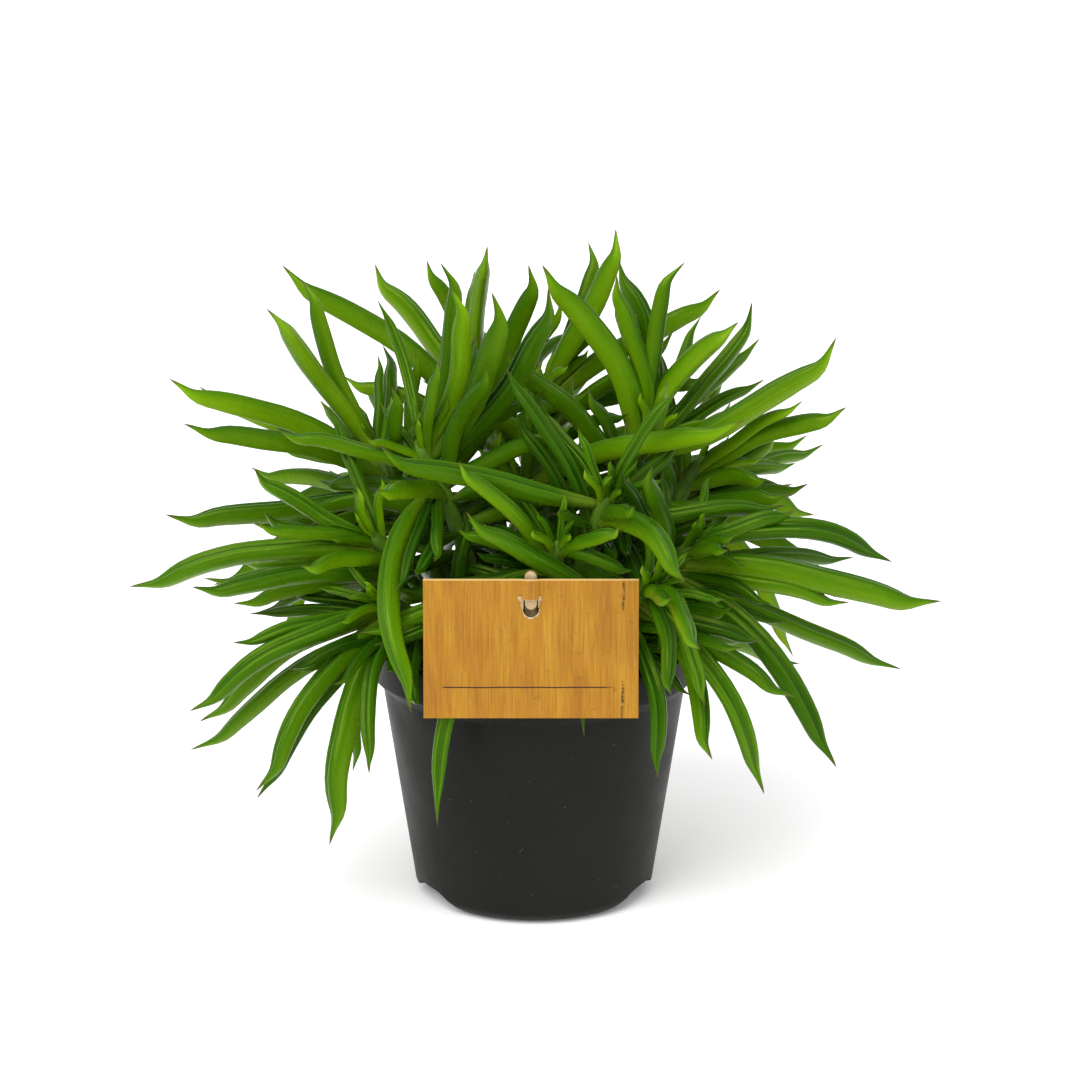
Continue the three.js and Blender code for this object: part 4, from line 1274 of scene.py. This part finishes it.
# Every leaf of the plant, each bent clear of what grew before it
def growLeaves():
    sizes = plantSettings
    thicket = Thicket()
    leaves = []

    def growOne(kind, leaf, number, *more):
        leaf = settle(leaf, number, thicket, *leafKinds[kind]["tries"], *more)
        if leaf:
            leaves.append(leaf)

    count, radius = sizes["stemBeads"], sizes["stemRadius"] + sizes["stemRoom"]
    for number, stem in enumerate(stemPlan):
        places = np.array([stemPoint(stem, i / (count - 1)) for i in range(count)])
        thicket.grow(places, np.full(count, radius), np.ones(count), number)
    draw = drawer(sizes["fillSeed"])
    for number, stem in enumerate(stemPlan):
        for row in stem[4]:
            growOne("placed", placedLeaf(stem, row, draw), number, False)
    for number, stem in enumerate(stemPlan):
        for i in range(stem[3]):
            growOne("fill", fillLeaf(stem, i, draw), number, True)
    inCad = len(leaves)
    print("grew", inCad, "leaves of the CAD model")
    draw = drawer(sizes["innerSeed"])
    for kind, makeLeaf in (("young", youngLeaf), ("inner", innerLeaf)):
        for i in range(leafKinds[kind]["count"]):
            for number, stem in enumerate(stemPlan):
                growOne(kind, makeLeaf(stem, i, draw), number, True, sizes["moreRoom"])
    print("grew", len(leaves) - inCad, "small and inner leaves")
    return leaves


# Pod leaf template, upright and of unit girth and length

podSettings = {
    # right half of the cross-section from the keel to the groove: x, y, share of the way round
    "section": [
        (0, -0.52, 0), (0.07, -0.49, 0.05), (0.2, -0.37, 0.17), (0.31, -0.22, 0.29), (0.39, -0.04, 0.41),
        (0.42, 0.13, 0.52), (0.4, 0.27, 0.61), (0.34, 0.36, 0.68), (0.27, 0.41, 0.735), (0.215, 0.415, 0.77),
        (0.17, 0.38, 0.81), (0.1, 0.345, 0.88), (0, 0.33, 1),
    ],
    "rings": [0, 0.03, 0.07, 0.12, 0.18, 0.24, 0.3, 0.37, 0.44, 0.51, 0.57, 0.63, 0.68, 0.73, 0.78, 0.82,
              0.855, 0.885, 0.91, 0.932, 0.952, 0.97, 0.985, 0.995],
    "tipShut": (0.8, 0.96),  # the groove closes over this stretch of the length, and over the root's
    "rootShut": (0, 0.12),
    "shutWidth": 0.7,  # how far its lips draw together there, as a share
    "shutLevel": 0.4,  # the height that its bottom rises to, and the share of the way that it goes
    "shutRise": 0.9,
    "grooveStart": (0.72, 0.8),  # shares of the way round
    "spineBody": (0.76, 17),  # how far the spine's first stretch goes, and its number of points
    "spineTipPoints": 14,
    "wobble": 0.0008,  # metres
    "wobbleFine": 70.0,
    "fullLength": 80,  # a leaf this long or longer has the full hook and wave
    "moreHook": 1.3,
    "hookAt": 0.87,
    "hookWidth": 0.07,
    "wave": 0.9,
    "waves": (1.4, 0.9),  # how many there are, up and down and then from side to side
    "tipFine": 0.42,  # the last stretch is narrower by this share
    "tipStretch": (0.82, 0.95),
    "close": (0.1, 0.6),  # how far the window between the rims is drawn together, least and most
    "closeStart": (0.7, 0.82),
    "stemSides": 12,
}
bodyEnd, bodyPoints = podSettings["spineBody"]
spineShares = np.concatenate([
    np.linspace(0, bodyEnd, bodyPoints), np.linspace(bodyEnd, 1, podSettings["spineTipPoints"])[1:]])


def softStep(low, high, t):
    share = np.clip((t - low) / (high - low), 0, 1)
    return share * share * (3 - 2 * share)


def makePodTemplate():
    shape = podSettings
    ring = shape["section"] + [(-x, y, around) for x, y, around in shape["section"][-2:0:-1]]
    vertices, faces, across, along = [], [], [], []
    sides = len(ring)
    for t in shape["rings"]:
        shut = max(softStep(*shape["tipShut"], t), 1 - softStep(*shape["rootShut"], t))
        for x, y, around in ring:
            share = shut * softStep(*shape["grooveStart"], around)
            lift = (shape["shutLevel"] - y) * share * shape["shutRise"]
            vertices.append((x * (1 - shape["shutWidth"] * share), y + lift, t))
            across.append(around)
            along.append(t)
    for r in range(len(shape["rings"]) - 1):
        for k in range(sides):
            a, b = r * sides + k, r * sides + (k + 1) % sides
            faces.append([a, a + sides, b + sides, b])
    last = len(vertices) - sides
    vertices.append((0, 0, 1))
    across.append(0.5)
    along.append(1)
    faces.extend([last + k, len(vertices) - 1, last + (k + 1) % sides] for k in range(sides))
    faces.append(list(range(sides)))
    pod = newPiece("podTemplate", vertices, faces, scale=1)
    storeOnPoints(pod, "across", across)
    storeOnPoints(pod, "along", along)
    return pod


# Puts a pod leaf along every leaf spine, and a round stem along the stem's line
def makePodTree():
    tree, given = newTree("growPods", {
        "Pod": "Object", "Leaf Material": "Material", "Stem Material": "Material",
        "Stem Sides": "Int", "Wobble": "Float", "Wobble Fine": "Float", "Seed": "Int",
    })
    curves = add(tree, "GeometryNodeMeshToCurve", {0: given["Geometry"]}).outputs[0]
    isStem = compute(tree, "GREATER_THAN", named(tree, "isStem"), 0.5)
    split = add(tree, "GeometryNodeSeparateGeometry", {0: curves, "Selection": isStem}, domain="CURVE")
    stems, spines = split.outputs["Selection"], split.outputs["Inverted"]
    size = add(tree, "GeometryNodeAttributeDomainSize", {0: spines}, component="CURVE")
    points = add(tree, "GeometryNodePoints", {"Count": size.outputs["Spline Count"]}).outputs[0]
    index = add(tree, "GeometryNodeInputIndex").outputs[0]

    def store(shape, name, value, kind):
        return add(tree, "GeometryNodeStoreNamedAttribute", {
            "Geometry": shape, "Name": name, "Value": value,
        }, data_type=kind, domain="POINT").outputs[0]

    points = store(points, "leaf", index, "INT")
    pod = add(tree, "GeometryNodeObjectInfo", {"Object": given["Pod"]}).outputs["Geometry"]
    pods = add(tree, "GeometryNodeInstanceOnPoints", {"Points": points, "Instance": pod}).outputs[0]
    pods = add(tree, "GeometryNodeRealizeInstances", {"Geometry": pods}).outputs[0]
    leaf = named(tree, "leaf", "INT")
    place = add(tree, "GeometryNodeInputPosition").outputs[0]
    local = add(tree, "ShaderNodeSeparateXYZ", {"Vector": place}).outputs

    def sample(name, kind="FLOAT"):
        return add(tree, "GeometryNodeSampleCurve", {
            "Curves": spines, "Value": named(tree, name, kind), "Factor": local["Z"], "Curve Index": leaf,
        }, mode="FACTOR", use_all_curves=False, data_type=kind).outputs

    pods = store(pods, "tone", pick(sample("tone"), "Value"), "FLOAT")
    girth = sample("girth")
    width, ahead = pick(girth, "Value"), girth["Tangent"]
    face = pick(sample("face", "FLOAT_VECTOR"), "Value")
    close = pick(sample("close"), "Value")
    sideways = computeVector(tree, "NORMALIZE", computeVector(tree, "CROSS_PRODUCT", ahead, face))
    outwards = computeVector(tree, "CROSS_PRODUCT", sideways, ahead)
    inner = spread(tree, named(tree, "across"), *podSettings["closeStart"], kind="SMOOTHSTEP")
    squeeze = compute(tree, "SUBTRACT", 1.0, product(tree, close, inner))
    x = product(tree, local["X"], squeeze, width)
    y = product(tree, local["Y"], width)
    moved = computeVector(tree, "ADD", girth["Position"], scaled(tree, sideways, x))
    moved = computeVector(tree, "ADD", moved, scaled(tree, outwards, y))
    pods = add(tree, "GeometryNodeSetPosition", {"Geometry": pods, "Position": moved}).outputs[0]
    pods = roughened(tree, pods, given["Wobble"], {
        "Vector": place, "W": compute(tree, "ADD", leaf, given["Seed"]), "Scale": given["Wobble Fine"],
        "Detail": 1.0,
    }, noise_dimensions="4D")
    circle = add(tree, "GeometryNodeCurvePrimitiveCircle", {"Resolution": given["Stem Sides"], "Radius": 1.0})
    tubes = add(tree, "GeometryNodeCurveToMesh", {
        "Curve": stems, "Profile Curve": circle.outputs[0], "Scale": named(tree, "girth"), "Fill Caps": True,
    }).outputs[0]
    both = joined(
        tree, coated(tree, pods, given["Leaf Material"]), coated(tree, tubes, given["Stem Material"]))
    smoothed = add(tree, "GeometryNodeSetShadeSmooth", {"Geometry": both}).outputs[0]
    add(tree, "NodeGroupOutput", {"Geometry": smoothed})
    return tree


# Middle line of a finished leaf: the CAD leaf's line with a deeper hook before the tip and a slight wave
def waved(leaf, frames, t, draw):
    shape = podSettings
    points = leafPoints(leaf, frames, t)[0]
    lift, face, side = frames[2][0], frames[3][0], frames[4][0]
    size = min(1, frames[1][0, 0] / shape["fullLength"])
    hook = shape["moreHook"] * size * np.exp(-(((t - shape["hookAt"]) / shape["hookWidth"]) ** 2))
    fade = shape["wave"] * size * np.sin(math.pi * t)
    up, across = (fade * np.sin(2 * math.pi * (count * t + draw())) for count in shape["waves"])
    return points - face * hook[:, None] + lift * up[:, None] + side * across[:, None]


# Width of a finished leaf: the CAD leaf's width, drawn finer towards the tip
def fineShare(t):
    return podShare(t) * (1 - podSettings["tipFine"] * softStep(*podSettings["tipStretch"], t))


def stemLine(stem):
    sizes = plantSettings
    foot, crown, axis = stemPoint(stem, 0), stemPoint(stem, 1), stemAxis(stem, 1)
    shares = np.linspace(0, 1, sizes["stemPoints"])
    deep, often = sizes["stemRings"]
    line = [(foot[0], foot[1], soilSettings["top"] - sizes["stemHoleDepth"] + soilSettings["gap"])]
    line += [stemPoint(stem, share) for share in shares]
    line += [crown + axis * sizes["budHeight"] * share for share, _ in sizes["bud"]]
    widths = [1, *(1 - deep + deep * np.cos(shares * often)), *(width for _, width in sizes["bud"])]
    return np.array(line), np.array(widths) * sizes["stemRadius"]


def makeLeafyStem(number, stem, leaves, pod, tree, leafMaterial, stemMaterial, draw):
    least, most = podSettings["close"]
    spines = []  # each of them: line, widths, the way it faces, tone with painted shade, how closed it is, stem or not
    for leaf in leaves:
        frames = leafFrames(leaf, leaf["tip"][None, :])
        line = waved(leaf, frames, spineShares, draw)
        # the inner leaves draw low tones: painted shade of the plant's shaded middle
        dark, light = leaf["tones"]
        tone = dark + (light - dark) * draw()
        close = least + (most - least) * draw()
        spines.append((line, leaf["girth"] * fineShare(spineShares), frames[3][0], tone, close, 0))
    spines.append((*stemLine(stem), (0, -1, 0), 0.5, 0, 1))
    places, edges, girths = [], [], []
    stored = {"face": [], "tone": [], "close": [], "isStem": []}
    for line, widths, *values in spines:
        start = len(places)
        places.extend(line)
        edges.extend((start + i, start + i + 1) for i in range(len(line) - 1))
        girths.extend(widths * mm)
        for kept, value in zip(stored.values(), values):
            kept.extend([value] * len(line))
    piece = newPiece("leafy_" + stem[0], places, [], edges)
    storeOnPoints(piece, "girth", girths)
    for label, values in stored.items():
        storeOnPoints(piece, label, values)
    applyTree(piece, tree, {
        "Pod": pod, "Leaf Material": leafMaterial, "Stem Material": stemMaterial,
        "Stem Sides": podSettings["stemSides"], "Wobble": podSettings["wobble"],
        "Wobble Fine": podSettings["wobbleFine"], "Seed": number,
    })
    declare(piece, stem[0])


def makePlant():
    leaves = growLeaves()
    draw = drawer(plantSettings["toneSeed"])
    pod = makePodTemplate()
    makings = pod, makePodTree(), makeLeafMaterial(), makeStemMaterial(), draw
    for number, stem in enumerate(stemPlan):
        makeLeafyStem(number, stem, [leaf for leaf in leaves if leaf["stem"] == number], *makings)
    removePiece(pod)


makePlant()
print("leafy stems made")


# Floor, lights and world

def makeStudio():
    light = studioSettings
    half, shade, white = light["floorHalf"], light["floorShade"], (1, 1, 1, 1)
    corners = [(-half, -half, 0), (half, -half, 0), (half, half, 0), (-half, half, 0)]
    floor = newPiece("floor", corners, [[0, 1, 2, 3]])
    material, tree, surface, place = newMaterial("floorPaper")
    patches = noise(tree, place, scale=3, detail=2)
    grey = spread(tree, patches, 0.3, 0.7, shade - light["floorMottle"], shade)
    colour = add(tree, "ShaderNodeCombineColor", {"Red": grey, "Green": grey, "Blue": grey}).outputs[0]
    finishSurface(
        tree, surface, colour, roughness=0.6,
        Specular_IOR_Level=0.0, Emission_Strength=light["floorGlow"], Emission_Color=white)
    floor.data.materials.append(material)
    data = bpy.data.lights.new("sun", "SUN")
    data.energy = light["sunPower"]
    data.angle = light["sunAngle"] * degrees
    lamp = bpy.data.objects.new("sun", data)
    lamp.rotation_euler = [turn * degrees for turn in light["sunTurn"]]
    scene.collection.objects.link(lamp)
    world = bpy.data.worlds.new("studio")
    world.use_nodes = True
    sky = world.node_tree.nodes["Background"]
    sky.inputs["Color"].default_value = white
    sky.inputs["Strength"].default_value = light["world"]
    scene.world = world
    scene.view_settings.view_transform = "Standard"


makeStudio()
print("floor, lights and world made")
